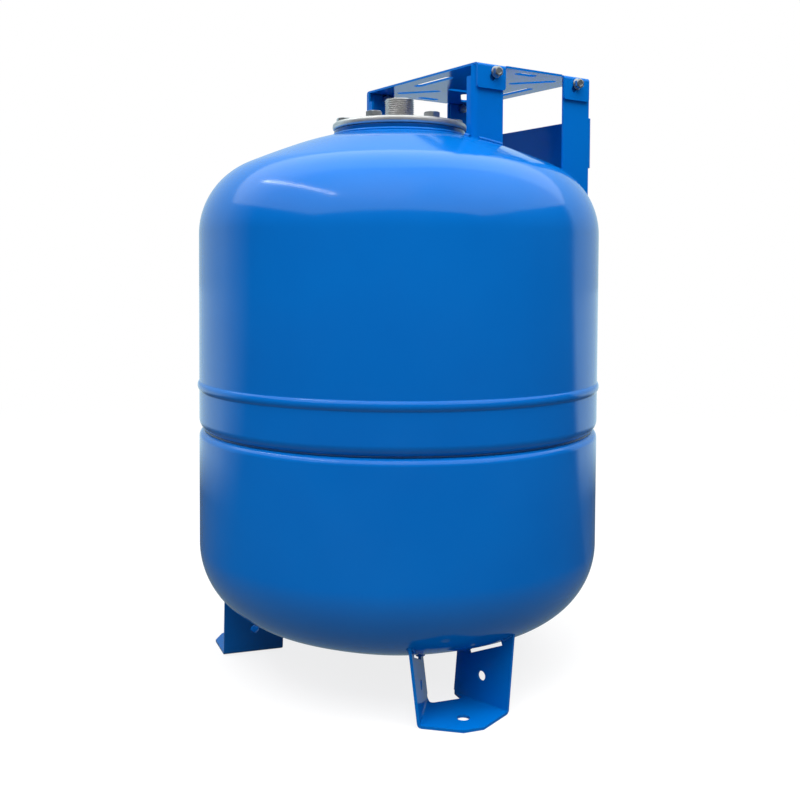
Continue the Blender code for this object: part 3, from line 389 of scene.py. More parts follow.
# %% Turn the upper shell
NECK_RADIUS = 0.0703
BEAD_RISE = 0.0019
BEAD_HALF_WIDTH = 0.0050
BEAD_FOOT = 0.0010
BEAD_ABOVE_SEAM = 0.0414
CURL_RADIUS = 0.0130
CURL_ABOVE_SEAM = 0.0045
CURL_BELOW_SEAM = 0.0066
BEAD_STEPS = 20
CURL_STEPS = 14
INSIDE_STEPS = 6
BEAD_SHARP_DEG = 50.0

seam_top = upper_low.z
bead_height = seam_top + BEAD_ABOVE_SEAM
upper_tangent = upper_high.z - head_points(NECK_RADIUS)[0][1]
curl_sweep = math.asin((CURL_ABOVE_SEAM + CURL_BELOW_SEAM) / CURL_RADIUS)
curl_depth = CURL_RADIUS * (1.0 - math.cos(curl_sweep))
print("the skirt curls in by %.1f mm" % (curl_depth * 1000))


def bead_points(steps, offset=0.0):
    """The rolled bead from top to bottom, as one arc between the straight walls."""
    radius = (BEAD_HALF_WIDTH**2 + BEAD_RISE**2) / (2.0 * BEAD_RISE)
    half_sweep = math.degrees(math.asin(BEAD_HALF_WIDTH / radius))
    centre = (tank_radius + BEAD_RISE - radius, bead_height)
    return arc(centre, radius + offset, half_sweep, -half_sweep, steps)


def curl_points(steps, offset=0.0):
    """The skirt's end, from the straight wall down to the edge that it curls in to."""
    centre = (tank_radius - CURL_RADIUS, seam_top + CURL_ABOVE_SEAM)
    return arc(centre, CURL_RADIUS + offset, 0.0, -math.degrees(curl_sweep), steps)


def upper_profile():
    outer = [(r, upper_tangent + h) for r, h in head_points(NECK_RADIUS)]
    outer.append((tank_radius, bead_height + BEAD_HALF_WIDTH + BEAD_FOOT))
    outer += bead_points(BEAD_STEPS)
    outer.append((tank_radius, bead_height - BEAD_HALF_WIDTH - BEAD_FOOT))
    outer += curl_points(CURL_STEPS)
    lining = head_points(NECK_RADIUS, -SHELL_WALL, INNER_STEPS)
    inner = [(r, upper_tangent + h) for r, h in lining]
    inner[0] = (NECK_RADIUS, inner[0][1])
    inner += bead_points(INSIDE_STEPS, -SHELL_WALL) + curl_points(INSIDE_STEPS, -SHELL_WALL)
    return outer + inner[::-1]


upper_mesh = lathe("upper_shell_skin", upper_profile(), SHELL_SIDES)
add_piece("upper_shell_skin", upper_mesh, enamel, ["upper_shell"], sharp_deg=BEAD_SHARP_DEG)

# %% Turn the lower shell
SHOULDER_RADIUS = 0.0078
SHOULDER_BELOW_SEAM = 0.0078
SHOULDER_STEPS = 20
VALVE_HOLE_RADIUS = 0.0044
SPIGOT_GAP = 0.0004

spigot_radius = tank_radius - curl_depth - SHELL_WALL - SPIGOT_GAP
shoulder_top = seam_top - SHOULDER_BELOW_SEAM
shoulder_centre = (tank_radius - SHOULDER_RADIUS, shoulder_top - SHOULDER_RADIUS)


def lower_profile():
    outer = [(r, lower_tangent - h) for r, h in head_points(VALVE_HOLE_RADIUS)]
    outer += arc(shoulder_centre, SHOULDER_RADIUS, 0.0, 90.0, SHOULDER_STEPS)
    outer += [(spigot_radius, shoulder_top), (spigot_radius, lower_high.z)]
    lining = head_points(VALVE_HOLE_RADIUS, -SHELL_WALL, INNER_STEPS)
    inner = [(r, lower_tangent - h) for r, h in lining]
    inner[0] = (VALVE_HOLE_RADIUS, inner[0][1])
    inner += arc(shoulder_centre, SHOULDER_RADIUS - SHELL_WALL, 0.0, 90.0, INSIDE_STEPS)
    inner += [(spigot_radius - SHELL_WALL, inner[-1][1]), (spigot_radius - SHELL_WALL, lower_high.z)]
    return outer + inner[::-1]


lower_mesh = lathe("lower_shell_skin", lower_profile(), SHELL_SIDES)
add_piece("lower_shell_skin", lower_mesh, enamel, ["lower_shell"])

# %% [markdown]
# ## Weld beads with Geometry Nodes
#
# A weld is a path with a round section whose size ripples as the torch moves on. One node tree
# makes every weld here: it turns a chain of edges into a curve, resamples it, lets a sine and a
# little noise drive the radius, and sweeps a circle along it. Only the path and two sizes change.

# %% Build node trees with named inputs
def new_tree(name, sizes, takes_part=False):
    """A node tree that takes a path, a float for each size and a material, and gives a geometry."""
    tree = bpy.data.node_groups.new(name, "GeometryNodeTree")
    tree.interface.new_socket("Path", in_out="INPUT", socket_type="NodeSocketGeometry")
    if takes_part:
        tree.interface.new_socket("Part", in_out="INPUT", socket_type="NodeSocketObject")
    for label, value in sizes.items():
        socket = tree.interface.new_socket(label, in_out="INPUT", socket_type="NodeSocketFloat")
        socket.default_value = value
    tree.interface.new_socket("Material", in_out="INPUT", socket_type="NodeSocketMaterial")
    tree.interface.new_socket("Result", in_out="OUTPUT", socket_type="NodeSocketGeometry")
    return tree, tree.nodes.new("NodeGroupInput"), tree.nodes.new("NodeGroupOutput")


def maths(tree, operation, first, second=0.0):
    made = node(tree, "ShaderNodeMath", {0: first, 1: second}, operation=operation)
    return made.outputs[0]


def end_tree(tree, geometry, given, result):
    """Make instances real and set the material, which every tree here ends with."""
    real = node(tree, "GeometryNodeRealizeInstances", {"Geometry": geometry})
    paint = {"Geometry": real.outputs["Geometry"], "Material": given.outputs["Material"]}
    painted = node(tree, "GeometryNodeSetMaterial", paint)
    tree.links.new(painted.outputs["Geometry"], result.inputs["Result"])
    return tree


def run_tree(name, tree, values, material, path):
    """Evaluate a tree on a helper object and keep the result as a plain mesh."""
    helper = new_object(name + "_helper", path)
    modifier = helper.modifiers.new("nodes", "NODES")
    modifier.node_group = tree
    values = {**values, "Material": material}
    for item in tree.interface.items_tree:
        if item.item_type == "SOCKET" and item.in_out == "INPUT" and item.name in values:
            modifier[item.identifier] = values[item.name]
    graph = bpy.context.evaluated_depsgraph_get()
    mesh = bpy.data.meshes.new_from_object(helper.evaluated_get(graph))
    bpy.data.objects.remove(helper, do_unlink=True)
    mesh.name = name
    return mesh


# %% Build the weld tree
WELD_SIZES = {"Radius": 0.002, "Ripple": 0.12, "Ripple Length": 0.0025, "Step": 0.0008}
LUMP_SCALE = 260.0
LUMP_SHARE = 2.5
WELD_SECTION_SIDES = 12


def build_weld_tree():
    tree, given, result = new_tree("weld_bead", WELD_SIZES)
    curve = node(tree, "GeometryNodeMeshToCurve", {"Mesh": given.outputs["Path"]})
    spacing = {"Curve": curve.outputs["Curve"], "Length": given.outputs["Step"]}
    fine = node(tree, "GeometryNodeResampleCurve", spacing, mode="LENGTH")
    along = node(tree, "GeometryNodeSplineParameter")
    turns = maths(tree, "DIVIDE", along.outputs["Length"], given.outputs["Ripple Length"])
    wave = maths(tree, "SINE", maths(tree, "MULTIPLY", turns, math.tau))
    grain = node(tree, "ShaderNodeTexNoise", {"Scale": LUMP_SCALE, "Detail": 1.0})
    lumps = maths(tree, "MULTIPLY", maths(tree, "SUBTRACT", grain.outputs["Fac"], 0.5), LUMP_SHARE)
    swing = maths(tree, "MULTIPLY", maths(tree, "ADD", wave, lumps), given.outputs["Ripple"])
    radius = maths(tree, "MULTIPLY", maths(tree, "ADD", swing, 1.0), given.outputs["Radius"])
    circle = {"Resolution": WELD_SECTION_SIDES, "Radius": 1.0}
    section = node(tree, "GeometryNodeCurvePrimitiveCircle", circle)
    sweep = {"Curve": fine.outputs["Curve"], "Profile Curve": section.outputs["Curve"],
             "Scale": radius, "Fill Caps": True}
    swept = node(tree, "GeometryNodeCurveToMesh", sweep)
    return end_tree(tree, swept.outputs["Mesh"], given, result)


weld_tree = build_weld_tree()


def weld(name, paths, radius, ripple, closed=False, stands_for=(), material=enamel):
    """Weld beads along one or more paths of points, as one piece."""
    edges = []
    points = []
    for path in paths:
        first = len(points)
        points += [tuple(point) for point in path]
        edges += [(first + i, first + i + 1) for i in range(len(path) - 1)]
        if closed:
            edges.append((first + len(path) - 1, first))
    chain = bpy.data.meshes.new(name + "_path")
    chain.from_pydata(points, edges, [])
    mesh = run_tree(name, weld_tree, {"Radius": radius, "Ripple": ripple}, material, chain)
    add_piece(name, mesh, material, stands_for)


# %% Lay the girth weld in the groove
SEAM_WELD_RADIUS = 0.0016
SEAM_RIPPLE = 0.10
WELD_INSET = 0.0066

groove_height = seam_top - (CURL_BELOW_SEAM + SHOULDER_BELOW_SEAM) / 2
girth = ring_at(tank_radius - WELD_INSET, groove_height, SHELL_SIDES)
# The weld takes the darkest blue, which is painted shade of the groove.
weld("girth_weld", [girth], SEAM_WELD_RADIUS, SEAM_RIPPLE, closed=True, stands_for=["seam_weld"],
     material=weld_enamel_with_painted_shade)

# %% [markdown]
# ## Neck ring and flange
#
# The ring is painted with the shell and welded to it all round. The flange above it is plated steel
# with a rounded edge, the brightest line in the photograph. Both are lathes again, with fine arcs
# on their edges.

# %% Turn the neck ring
RING_CHAMFER = 0.0008
RING_BORE_RADIUS = 0.046
LIP_SEAT_RADIUS = 0.054
LIP_SEAT_DEPTH = 0.0034
RING_SPIGOT_RADIUS = 0.070
NECK_SIDES = 144
CHAMFER_STEPS = 5

ring_low, ring_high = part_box("neck_ring")
ring_radius = ring_high.x
ring_top = ring_high.z
ring_foot = upper_tangent + head_rise_at(ring_radius) + FIT_GAP
ring_shoulder = upper_tangent + head_rise_at(RING_SPIGOT_RADIUS) + FIT_GAP
ring_profile = [(RING_BORE_RADIUS, ring_low.z), (RING_BORE_RADIUS, ring_top - LIP_SEAT_DEPTH)]
ring_profile += [(LIP_SEAT_RADIUS, ring_top - LIP_SEAT_DEPTH), (LIP_SEAT_RADIUS, ring_top)]
ring_edge = (ring_radius - RING_CHAMFER, ring_top - RING_CHAMFER)
ring_profile += arc(ring_edge, RING_CHAMFER, 90.0, 0.0, CHAMFER_STEPS)
ring_profile += [(ring_radius, ring_foot), (RING_SPIGOT_RADIUS, ring_shoulder)]
ring_profile += [(RING_SPIGOT_RADIUS, ring_low.z)]
ring_mesh = lathe("neck_ring_turned", ring_profile, NECK_SIDES)
# The ring takes the darker blue, which is painted shade under the flange.
add_piece("neck_ring_turned", ring_mesh, ring_enamel_with_painted_shade, ["neck_ring"])

# %% Weld the neck ring to the shell
NECK_WELD_RADIUS = 0.0018
NECK_RIPPLE = 0.06
NECK_WELD_OUT = 0.0004
NECK_WELD_UP = 0.0002

ring_path = ring_at(ring_radius + NECK_WELD_OUT, ring_foot + NECK_WELD_UP, NECK_SIDES)
weld("neck_weld", [ring_path], NECK_WELD_RADIUS, NECK_RIPPLE, closed=True)

# %% Turn the flange
FLANGE_EDGE = 0.0031
EDGE_STEPS = 10
NIPPLE_RADIUS = 0.0166

flange_low, flange_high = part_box("flange_plate")
hole_radius = NIPPLE_RADIUS + FIT_GAP
edge_radius = flange_high.x - FLANGE_EDGE
flange_profile = [(hole_radius, flange_low.z), (hole_radius, flange_high.z)]
flange_profile += arc((edge_radius, flange_high.z - FLANGE_EDGE), FLANGE_EDGE, 90.0, 0.0, EDGE_STEPS)
flange_profile += arc((edge_radius, flange_low.z + FLANGE_EDGE), FLANGE_EDGE, 0.0, -90.0, EDGE_STEPS)
flange_mesh = lathe("flange_turned", flange_profile, NECK_SIDES)
add_piece("flange_turned", flange_mesh, turned_steel, ["flange_plate"])

# %% [markdown]
# ## A real pipe thread
#
# The nipple carries a 1 inch pipe thread: eleven turns to the inch, cut with a 55 degree form. A
# swept coil would leave its two ends hanging, so the thread is one wound surface instead: every
# point of a fine grid round the pipe takes its radius from a row of teeth that climbs one pitch a
# turn. The teeth run out into the plain pipe below, and a chamfer clips them at the top.

# %% Wind a thread round a pipe or a bolt
CHAMFER_SLOPE = 0.9
TOOTH_FLAT = 0.12


def wound_rings(radius, depth, pitch, low, high, chamfer, sides, rows_a_turn):
    """Rings of a threaded length. It fades in at the bottom, low, and is chamfered on top, high.
    The tooth has a flat crest and root, each a small share of the pitch."""
    rows = max(2, round(rows_a_turn * (high - low) / pitch))
    rings = []
    for row in range(rows + 1):
        height = low + (high - low) * row / rows
        fade = min((height - low) / pitch, 1.0)
        crest = radius - max(0.0, height - (high - chamfer)) * CHAMFER_SLOPE
        ring = []
        for i in range(sides):
            phase = ((height - low) / pitch - i / sides) % 1.0
            tooth = (1.0 - abs(2.0 * phase - 1.0) - TOOTH_FLAT) / (1.0 - 2.0 * TOOTH_FLAT)
            reach = min(radius - depth * fade * (1.0 - min(max(tooth, 0.0), 1.0)), crest)
            angle = math.tau * i / sides
            ring.append(Vector((reach * math.cos(angle), reach * math.sin(angle), height)))
        rings.append(ring)
    return rings


# %% Cut the nipple's thread
NIPPLE_BORE_RADIUS = 0.0136
THREAD_PITCH = 0.02540 / 11
THREAD_DEPTH = 0.00148
THREAD_SIDES = 72
ROWS_A_TURN = 16
PLAIN_LENGTH = 0.0075
TOP_CHAMFER = 0.0012
BORE_CHAMFER = 0.0005
THREAD_SHARP_DEG = 60.0

nipple_low, nipple_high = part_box("water_nipple")
pipe_foot = flange_high.z + FIT_GAP
pipe_top = nipple_high.z
pipe_rings = [ring_at(NIPPLE_BORE_RADIUS, nipple_low.z, THREAD_SIDES)]
pipe_rings += [ring_at(NIPPLE_RADIUS, height, THREAD_SIDES) for height in (nipple_low.z, pipe_foot)]
pipe_rings += wound_rings(NIPPLE_RADIUS, THREAD_DEPTH, THREAD_PITCH, pipe_foot + PLAIN_LENGTH, pipe_top,
                          TOP_CHAMFER, THREAD_SIDES, ROWS_A_TURN)
pipe_rings += [ring_at(NIPPLE_BORE_RADIUS + BORE_CHAMFER, pipe_top, THREAD_SIDES)]
pipe_rings += [ring_at(NIPPLE_BORE_RADIUS, pipe_top - BORE_CHAMFER, THREAD_SIDES)]
nipple_mesh = skin_rings("threaded_nipple", pipe_rings, True)
add_piece("threaded_nipple", nipple_mesh, pipe_steel, ["water_nipple"], THREAD_SHARP_DEG)

# %% [markdown]
# The nipple is welded to the flange. Its fillet is bare metal, laid by the same weld tree.

# %% Weld the nipple to the flange
FILLET_RADIUS = 0.0017
FILLET_RIPPLE = 0.07
FILLET_OUT = FILLET_RADIUS * 0.35
FILLET_UP = FILLET_RADIUS * 0.25

fillet_path = ring_at(NIPPLE_RADIUS + FILLET_OUT, pipe_foot + FILLET_UP, THREAD_SIDES)
weld("nipple_weld", [fillet_path], FILLET_RADIUS, FILLET_RIPPLE, closed=True, material=pipe_steel)

# %% [markdown]
# ## Hexagon bolts
#
# A bolt head is a hexagon cut by a shallow cone, which leaves a curved line on each flat. Taking
# many points round the head and lowering each by its reach beyond the cone gives that line without
# a boolean. The bolts repeat, so a tree copies one bolt to points that hold a turn.

# %% Make a hexagon with chamfered corners
BOLT_SIDES = 48
FACE_SHARE = 0.475
CONE_SLOPE = 0.58
FOOT_SHARE = 0.08


def round_rings(*places):
    """Plain rings of a bolt, each given as its radius and height."""
    return [ring_at(radius, height, BOLT_SIDES) for radius, height in places]


def hexagon_ring(flats, height, cone=0.0):
    """A hexagon with points along its flats. With a cone, the corners drop below the height given."""
    ring = []
    for i in range(BOLT_SIDES):
        angle = math.tau * i / BOLT_SIDES
        reach = flats / 2 / math.cos(angle % (math.pi / 3) - math.pi / 6)
        drop = max(0.0, reach - flats * FACE_SHARE) * cone
        ring.append(Vector((reach * math.cos(angle), reach * math.sin(angle), height - drop)))
    return ring


# %% Make a bolt and a nut
PLAIN_SHARE = 0.38
BOLT_DEPTH_SHARE = 0.6
BOLT_CHAMFER_SHARE = 0.5
BOLT_ROWS_A_TURN = 6
COLLAR_DRAFT = 0.0001


def bolt_rings(flats, head, shank, length, pitch, collar=0.0, collar_radius=0.0):
    """Rings of a bolt that seats at height zero, from the middle of its head to the end of its shank.
    The head is dished on top, and a collar is the flange below it. Small sizes are shares of large."""
    top = collar + head
    dish = top - head * 0.10
    face = flats * FACE_SHARE
    rings = [[Vector((0.0, 0.0, dish))]]
    rings += round_rings((flats * 0.27, dish), (flats * 0.33, top), (face, top))
    rings += [hexagon_ring(flats, top, CONE_SLOPE), hexagon_ring(flats, collar + head * FOOT_SHARE)]
    if collar:
        rings += round_rings((flats * 0.56, collar * 1.15), (collar_radius, collar * 0.45))
        rings += round_rings((collar_radius - COLLAR_DRAFT, 0.0))
    else:
        rings += round_rings((flats * 0.48, head * 0.05), (face, 0.0))
    rings += round_rings((shank, 0.0))
    plain = length * PLAIN_SHARE
    thread = wound_rings(shank, pitch * BOLT_DEPTH_SHARE, pitch, 0.0, length - plain,
                         pitch * BOLT_CHAMFER_SHARE, BOLT_SIDES, BOLT_ROWS_A_TURN)
    for ring in thread:
        rings.append([Vector((point.x, point.y, -plain - point.z)) for point in ring])
    return rings + [[Vector((0.0, 0.0, -length))]]


def nut_rings(flats, height, bore):
    """Rings of a nut that seats at height zero, as a loop through its bore."""
    face = flats * FACE_SHARE
    rings = round_rings((bore, 0.0), (face, 0.0))
    rings += [hexagon_ring(flats, height * FOOT_SHARE), hexagon_ring(flats, height, CONE_SLOPE)]
    return rings + round_rings((face, height), (bore * 1.12, height), (bore, height * 0.9))


# %% Build the tree that copies a part to points
def build_copies_tree():
    """Points carry a vector called turn. Every point gets a copy of the part, turned by it."""
    tree, given, result = new_tree("copies_at_points", {"Size": 1.0}, takes_part=True)
    part = node(tree, "GeometryNodeObjectInfo", {"Object": given.outputs["Part"]})
    turn = node(tree, "GeometryNodeInputNamedAttribute", {"Name": "turn"}, data_type="FLOAT_VECTOR")
    size = node(tree, "ShaderNodeCombineXYZ", {axis: given.outputs["Size"] for axis in "XYZ"})
    euler = node(tree, "FunctionNodeEulerToRotation", {"Euler": turn.outputs["Attribute"]})
    links = {"Points": given.outputs["Path"], "Instance": part.outputs["Geometry"],
             "Rotation": euler.outputs["Rotation"], "Scale": size.outputs["Vector"]}
    placed = node(tree, "GeometryNodeInstanceOnPoints", links)
    return end_tree(tree, placed.outputs["Instances"], given, result)


copies_tree = build_copies_tree()


def copies(name, part_mesh, places, material):
    """Copy a mesh to places, each a point and a turn in radians about X, Y and Z."""
    points = bpy.data.meshes.new(name + "_points")
    points.from_pydata([tuple(point) for point, turn in places], [], [])
    turns = points.attributes.new("turn", "FLOAT_VECTOR", "POINT")
    for i, (point, turn) in enumerate(places):
        turns.data[i].vector = turn
    part = new_object(name + "_part", part_mesh)
    mesh = run_tree(name, copies_tree, {"Part": part}, material, points)
    bpy.data.objects.remove(part, do_unlink=True)
    return mesh


# %% Set the six flange bolts
def numbered(stem, count):
    return [stem + "_%d" % (i + 1) for i in range(count)]


BOLT_COUNT = 6
BOLT_CIRCLE_RADIUS = 0.063
FIRST_BOLT_DEG = -60.0
BOLT_TWIST_DEG = 17.0
BOLT_FLATS = 0.016
BOLT_RADIUS = 0.0048
BOLT_PITCH = 0.0015
BOLT_SHARP_DEG = 35.0

bolt_names = numbered("flange_bolt", BOLT_COUNT)
bolt_low, bolt_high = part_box(bolt_names[0])
bolt_seat = flange_high.z + FIT_GAP
bolt_head = bolt_high.z - bolt_seat
bolt_shape = bolt_rings(BOLT_FLATS, bolt_head, BOLT_RADIUS, bolt_seat - bolt_low.z, BOLT_PITCH)
flange_bolt = skin_rings("flange_bolt", bolt_shape)
bolt_places = []
for i in range(BOLT_COUNT):
    angle = math.radians(FIRST_BOLT_DEG + 360.0 * i / BOLT_COUNT)
    place = (BOLT_CIRCLE_RADIUS * math.cos(angle), BOLT_CIRCLE_RADIUS * math.sin(angle), bolt_seat)
    bolt_places.append((place, (0.0, 0.0, angle + math.radians(BOLT_TWIST_DEG * (i + 1)))))
bolts_mesh = copies("flange_bolts", flange_bolt, bolt_places, zinc)
add_piece("flange_bolts", bolts_mesh, zinc, bolt_names, BOLT_SHARP_DEG)

# %% [markdown]
# ## Folded sheet
#
# Feet, posts, rear leg and plate are punched and folded from sheet. Their CAD solids have the true
# folds, and what they lack is the small radius that every punched edge has, which catches the light
# as a thin bright line. A copy of each solid is merged, its flat faces are joined, and a narrow
# bevel with weighted normals finishes it. The copy stands for the node, which isn't touched.

# %% Copy a CAD solid and soften its edges
MERGE_DISTANCE = 0.00002
FLAT_DEG = 0.6
FOLD_DEG = 33.0
SHEET_EDGE = 0.0005


def merged_copy(name, source):
    shape = bmesh.new()
    shape.from_mesh(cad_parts[source].data)
    bmesh.ops.remove_doubles(shape, verts=shape.verts, dist=MERGE_DISTANCE)
    flat = math.radians(FLAT_DEG)
    bmesh.ops.dissolve_limit(shape, angle_limit=flat, verts=shape.verts, edges=shape.edges)
    mesh = bpy.data.meshes.new(name)
    shape.to_mesh(mesh)
    shape.free()
    return mesh


def soften(piece):
    """Round the edges that are sharper than a fold's facets."""
    bevel = piece.modifiers.new("edge_radius", "BEVEL")
    bevel.width = SHEET_EDGE
    bevel.segments = 2
    bevel.limit_method = "ANGLE"
    bevel.angle_limit = math.radians(FOLD_DEG)
    bevel.miter_outer = "MITER_ARC"
    normals = piece.modifiers.new("flat_faces", "WEIGHTED_NORMAL")
    normals.keep_sharp = True


feet = numbered("foot", 3)
bracket_sheets = ["front_post_right", "front_post_left", "rear_leg", "pump_plate"]
for source in feet + bracket_sheets:
    name = source + "_folded"
    soften(add_piece(name, merged_copy(name, source), sheet_enamel, [source]))

# %% [markdown]
# ## Stitch welds
#
# The posts stand on the dome and the feet hang from the lower head, each held by short welds. The
# paint runs into them and makes fat shiny lumps. Their paths lie on the head, whose height at any
# radius the outline function gives, just outside the sheet.

# %% Weld the bracket to the dome
WELD_RADIUS = 0.0021
WELD_OFFSET = 0.0008
WELD_LIFT = 0.0006
STITCH_RIPPLE = 0.16
BRACKET_SHEET = 0.0025


def dome_path(start, end, steps=14):
    """A straight line in plan, laid on the dome."""
    path = []
    for i in range(steps + 1):
        x = start[0] + (end[0] - start[0]) * i / steps
        y = start[1] + (end[1] - start[1]) * i / steps
        path.append(Vector((x, y, upper_tangent + head_rise_at(math.hypot(x, y)) + WELD_LIFT)))
    return path


post_low, post_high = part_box("front_post_right")
leg_low, leg_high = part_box("rear_leg")
outer_stitches = [(post_low.y + 0.006, post_high.y - 0.002), (leg_low.y + 0.002, leg_high.y - 0.012)]
inner_stitches = [(post_low.y + 0.012, post_high.y - 0.004), (leg_low.y + 0.004, leg_high.y - 0.014)]
front_stitch = (post_high.x - 0.0055, post_high.x - 0.0130)
bracket_paths = []
for sign in (1, -1):
    outer_x = sign * (post_high.x + WELD_OFFSET)
    inner_x = sign * (post_high.x - BRACKET_SHEET - WELD_OFFSET)
    bracket_paths += [dome_path((outer_x, start), (outer_x, end)) for start, end in outer_stitches]
    bracket_paths += [dome_path((inner_x, start), (inner_x, end)) for start, end in inner_stitches]
    front_ends = [(sign * x, post_low.y - WELD_OFFSET) for x in front_stitch]
    bracket_paths.append(dome_path(*front_ends, 6))
weld("bracket_welds", bracket_paths, WELD_RADIUS, STITCH_RIPPLE)

# %% [markdown]
# The feet are welded where the tabs of their walls reach the lower head. A tab's line leans and
# turns with its wall, so a point on it is found by climbing along the wall until it meets the head.

# %% Weld the feet to the lower head
FIRST_FOOT_DEG = -13.8
FOOT_CORNER_INSET = 0.0314
FOOT_CORNER_ASIDE = 0.0491
FOOT_WALL_LENGTH = 0.0688
FOOT_WALL_TURN_DEG = 28.0
FOOT_LEAN_DEG = 6.9
FOOT_SHEET = 0.0030
TAB_SPANS = ((0.0015, 0.0150), (0.0578, 0.0673))
TAB_WELD_RADIUS = 0.0015
TAB_STEPS = 8
CLIMB_ROUNDS = 12


def meet_head(sign, distance, inset):
    """Where a foot's wall meets the lower head, in the foot's frame, at a distance along its fold."""
    turn = math.radians(FOOT_WALL_TURN_DEG)
    lean = math.radians(FOOT_LEAN_DEG)
    along = Vector((math.cos(turn), sign * math.sin(turn), 0.0))
    outward = Vector((-math.sin(turn), sign * math.cos(turn), 0.0))
    climb = outward * math.sin(lean) + Vector((0.0, 0.0, math.cos(lean)))
    corner = Vector((tank_radius - FOOT_CORNER_INSET, sign * FOOT_CORNER_ASIDE, 0.0))
    start = corner - along * (FOOT_WALL_LENGTH - distance) - outward * inset
    reach = 0.0
    for _ in range(CLIMB_ROUNDS):
        place = start + climb * reach
        reach = (lower_tangent - head_rise_at(math.hypot(place.x, place.y))) / climb.z
    return start + climb * reach


tab_paths = []
for foot in range(len(feet)):
    spin = Matrix.Rotation(math.radians(FIRST_FOOT_DEG + 360.0 * foot / len(feet)), 3, "Z")
    for sign in (1, -1):
        for start, end in TAB_SPANS:
            spread = [start + (end - start) * i / TAB_STEPS for i in range(TAB_STEPS + 1)]
            for inset in (-WELD_OFFSET, FOOT_SHEET + WELD_OFFSET):
                tab_paths.append([spin @ meet_head(sign, distance, inset) for distance in spread])
weld("foot_welds", tab_paths, TAB_WELD_RADIUS, STITCH_RIPPLE)

# %% [markdown]
# ## Bracket fasteners
#
# Each ear of the plate is clamped to its post by a small flanged bolt, with a nut inside.

# %% Set the bracket's bolts and nuts
EAR_BOLT_FLATS = 0.010
EAR_BOLT_HEAD = 0.0046
EAR_BOLT_COLLAR = 0.0012
EAR_BOLT_COLLAR_RADIUS = 0.0064
EAR_BOLT_RADIUS = 0.0029
EAR_BOLT_PITCH = 0.0010
EAR_NUT_HEIGHT = 0.0050

ear_bolt_names = numbered("bracket_bolt", 4)
ear_nut_names = numbered("bracket_nut", 4)
ear_bolt_places = []
ear_nut_places = []
for bolt_name, nut_name in zip(ear_bolt_names, ear_nut_names):
    low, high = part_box(bolt_name)
    nut_low, nut_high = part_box(nut_name)
    sign = 1 if low.x > 0 else -1
    outer_x = max(abs(low.x), abs(high.x))
    seat_x = outer_x - EAR_BOLT_HEAD - EAR_BOLT_COLLAR
    ear_bolt_length = seat_x - min(abs(low.x), abs(high.x))
    middle = ((low.y + high.y) / 2, (low.z + high.z) / 2)
    ear_bolt_places.append(((sign * seat_x, *middle), (0.0, sign * math.pi / 2, 0.0)))
    nut_x = max(abs(nut_low.x), abs(nut_high.x))
    ear_nut_places.append(((sign * nut_x, *middle), (0.0, -sign * math.pi / 2, 0.0)))
ear_shape = bolt_rings(EAR_BOLT_FLATS, EAR_BOLT_HEAD, EAR_BOLT_RADIUS, ear_bolt_length, EAR_BOLT_PITCH,
                       EAR_BOLT_COLLAR, EAR_BOLT_COLLAR_RADIUS)
ear_bolt = skin_rings("ear_bolt", ear_shape)
ear_nut = skin_rings("ear_nut", nut_rings(EAR_BOLT_FLATS, EAR_NUT_HEIGHT, EAR_BOLT_RADIUS + FIT_GAP), True)
ear_bolts_mesh = copies("bracket_bolts", ear_bolt, ear_bolt_places, zinc)
add_piece("bracket_bolts", ear_bolts_mesh, zinc, ear_bolt_names, BOLT_SHARP_DEG)
ear_nuts_mesh = copies("bracket_nuts", ear_nut, ear_nut_places, zinc)
add_piece("bracket_nuts", ear_nuts_mesh, zinc, ear_nut_names, BOLT_SHARP_DEG)

# %% [markdown]
# ## What hides inside and underneath
#
# The bladder shows only through the nipple, and the air valve only from below. Their CAD solids
# have the right shape, so they keep it and only take a finish.

# %% Finish the kept nodes
kept = {"bladder": rubber, "air_valve": brass, "valve_core": brass, "valve_cap": cap_plastic}
for name, material in kept.items():
    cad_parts[name].data.materials.clear()
    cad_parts[name].data.materials.append(material)
print("kept nodes:", sorted(kept))

# %% [markdown]
# ## Surroundings
#
# The photograph shows the tank on pure white, yet its enamel mirrors a room that is bright only
# behind the tank and dim in front: that is what draws the pale upright bands along both sides and
# leaves the blue deep between them. So the camera sees a white world everywhere, glossy rays see
# a cool backdrop behind the tank and a dim room elsewhere, and the light that falls on the tank is
# even. The backdrop ends crisply on its right and softly on its left, as the two bands do. The
# world reads its own directions for this, so nothing hangs on where a camera stands.

# %% Light the world
BACKDROP_DIRECTION = Vector((-0.89, 0.46)).normalized()
CRISP_EDGE = (0.25, 0.33)
SOFT_EDGE = (0.08, 0.50)
SIDE_BLEND = 0.1
DIM_ROOM = 0.05
EVEN_LIGHT = 0.25
BACKDROP_TINT = (0.77, 1.03, 1.12)
BACKDROP_GLOW = 0.70
WHITE = (1.0, 1.0, 1.0)


def rays(tree, *kinds):
    """One where the ray is any of the kinds, else nought."""
    path = tree.nodes.new("ShaderNodeLightPath")
    total = path.outputs["Is %s Ray" % kinds[0]]
    for kind in kinds[1:]:
        total = maths(tree, "MAXIMUM", total, path.outputs["Is %s Ray" % kind])
    return total


def choose(tree, factor, first, second):
    """The first number where the factor is nought and the second where it is one."""
    mix = node(tree, "ShaderNodeMix", {"Factor": factor, "A": first, "B": second})
    return mix.outputs["Result"]


def vector_maths(tree, operation, *values):
    return node(tree, "ShaderNodeVectorMath", dict(enumerate(values)), operation=operation).outputs


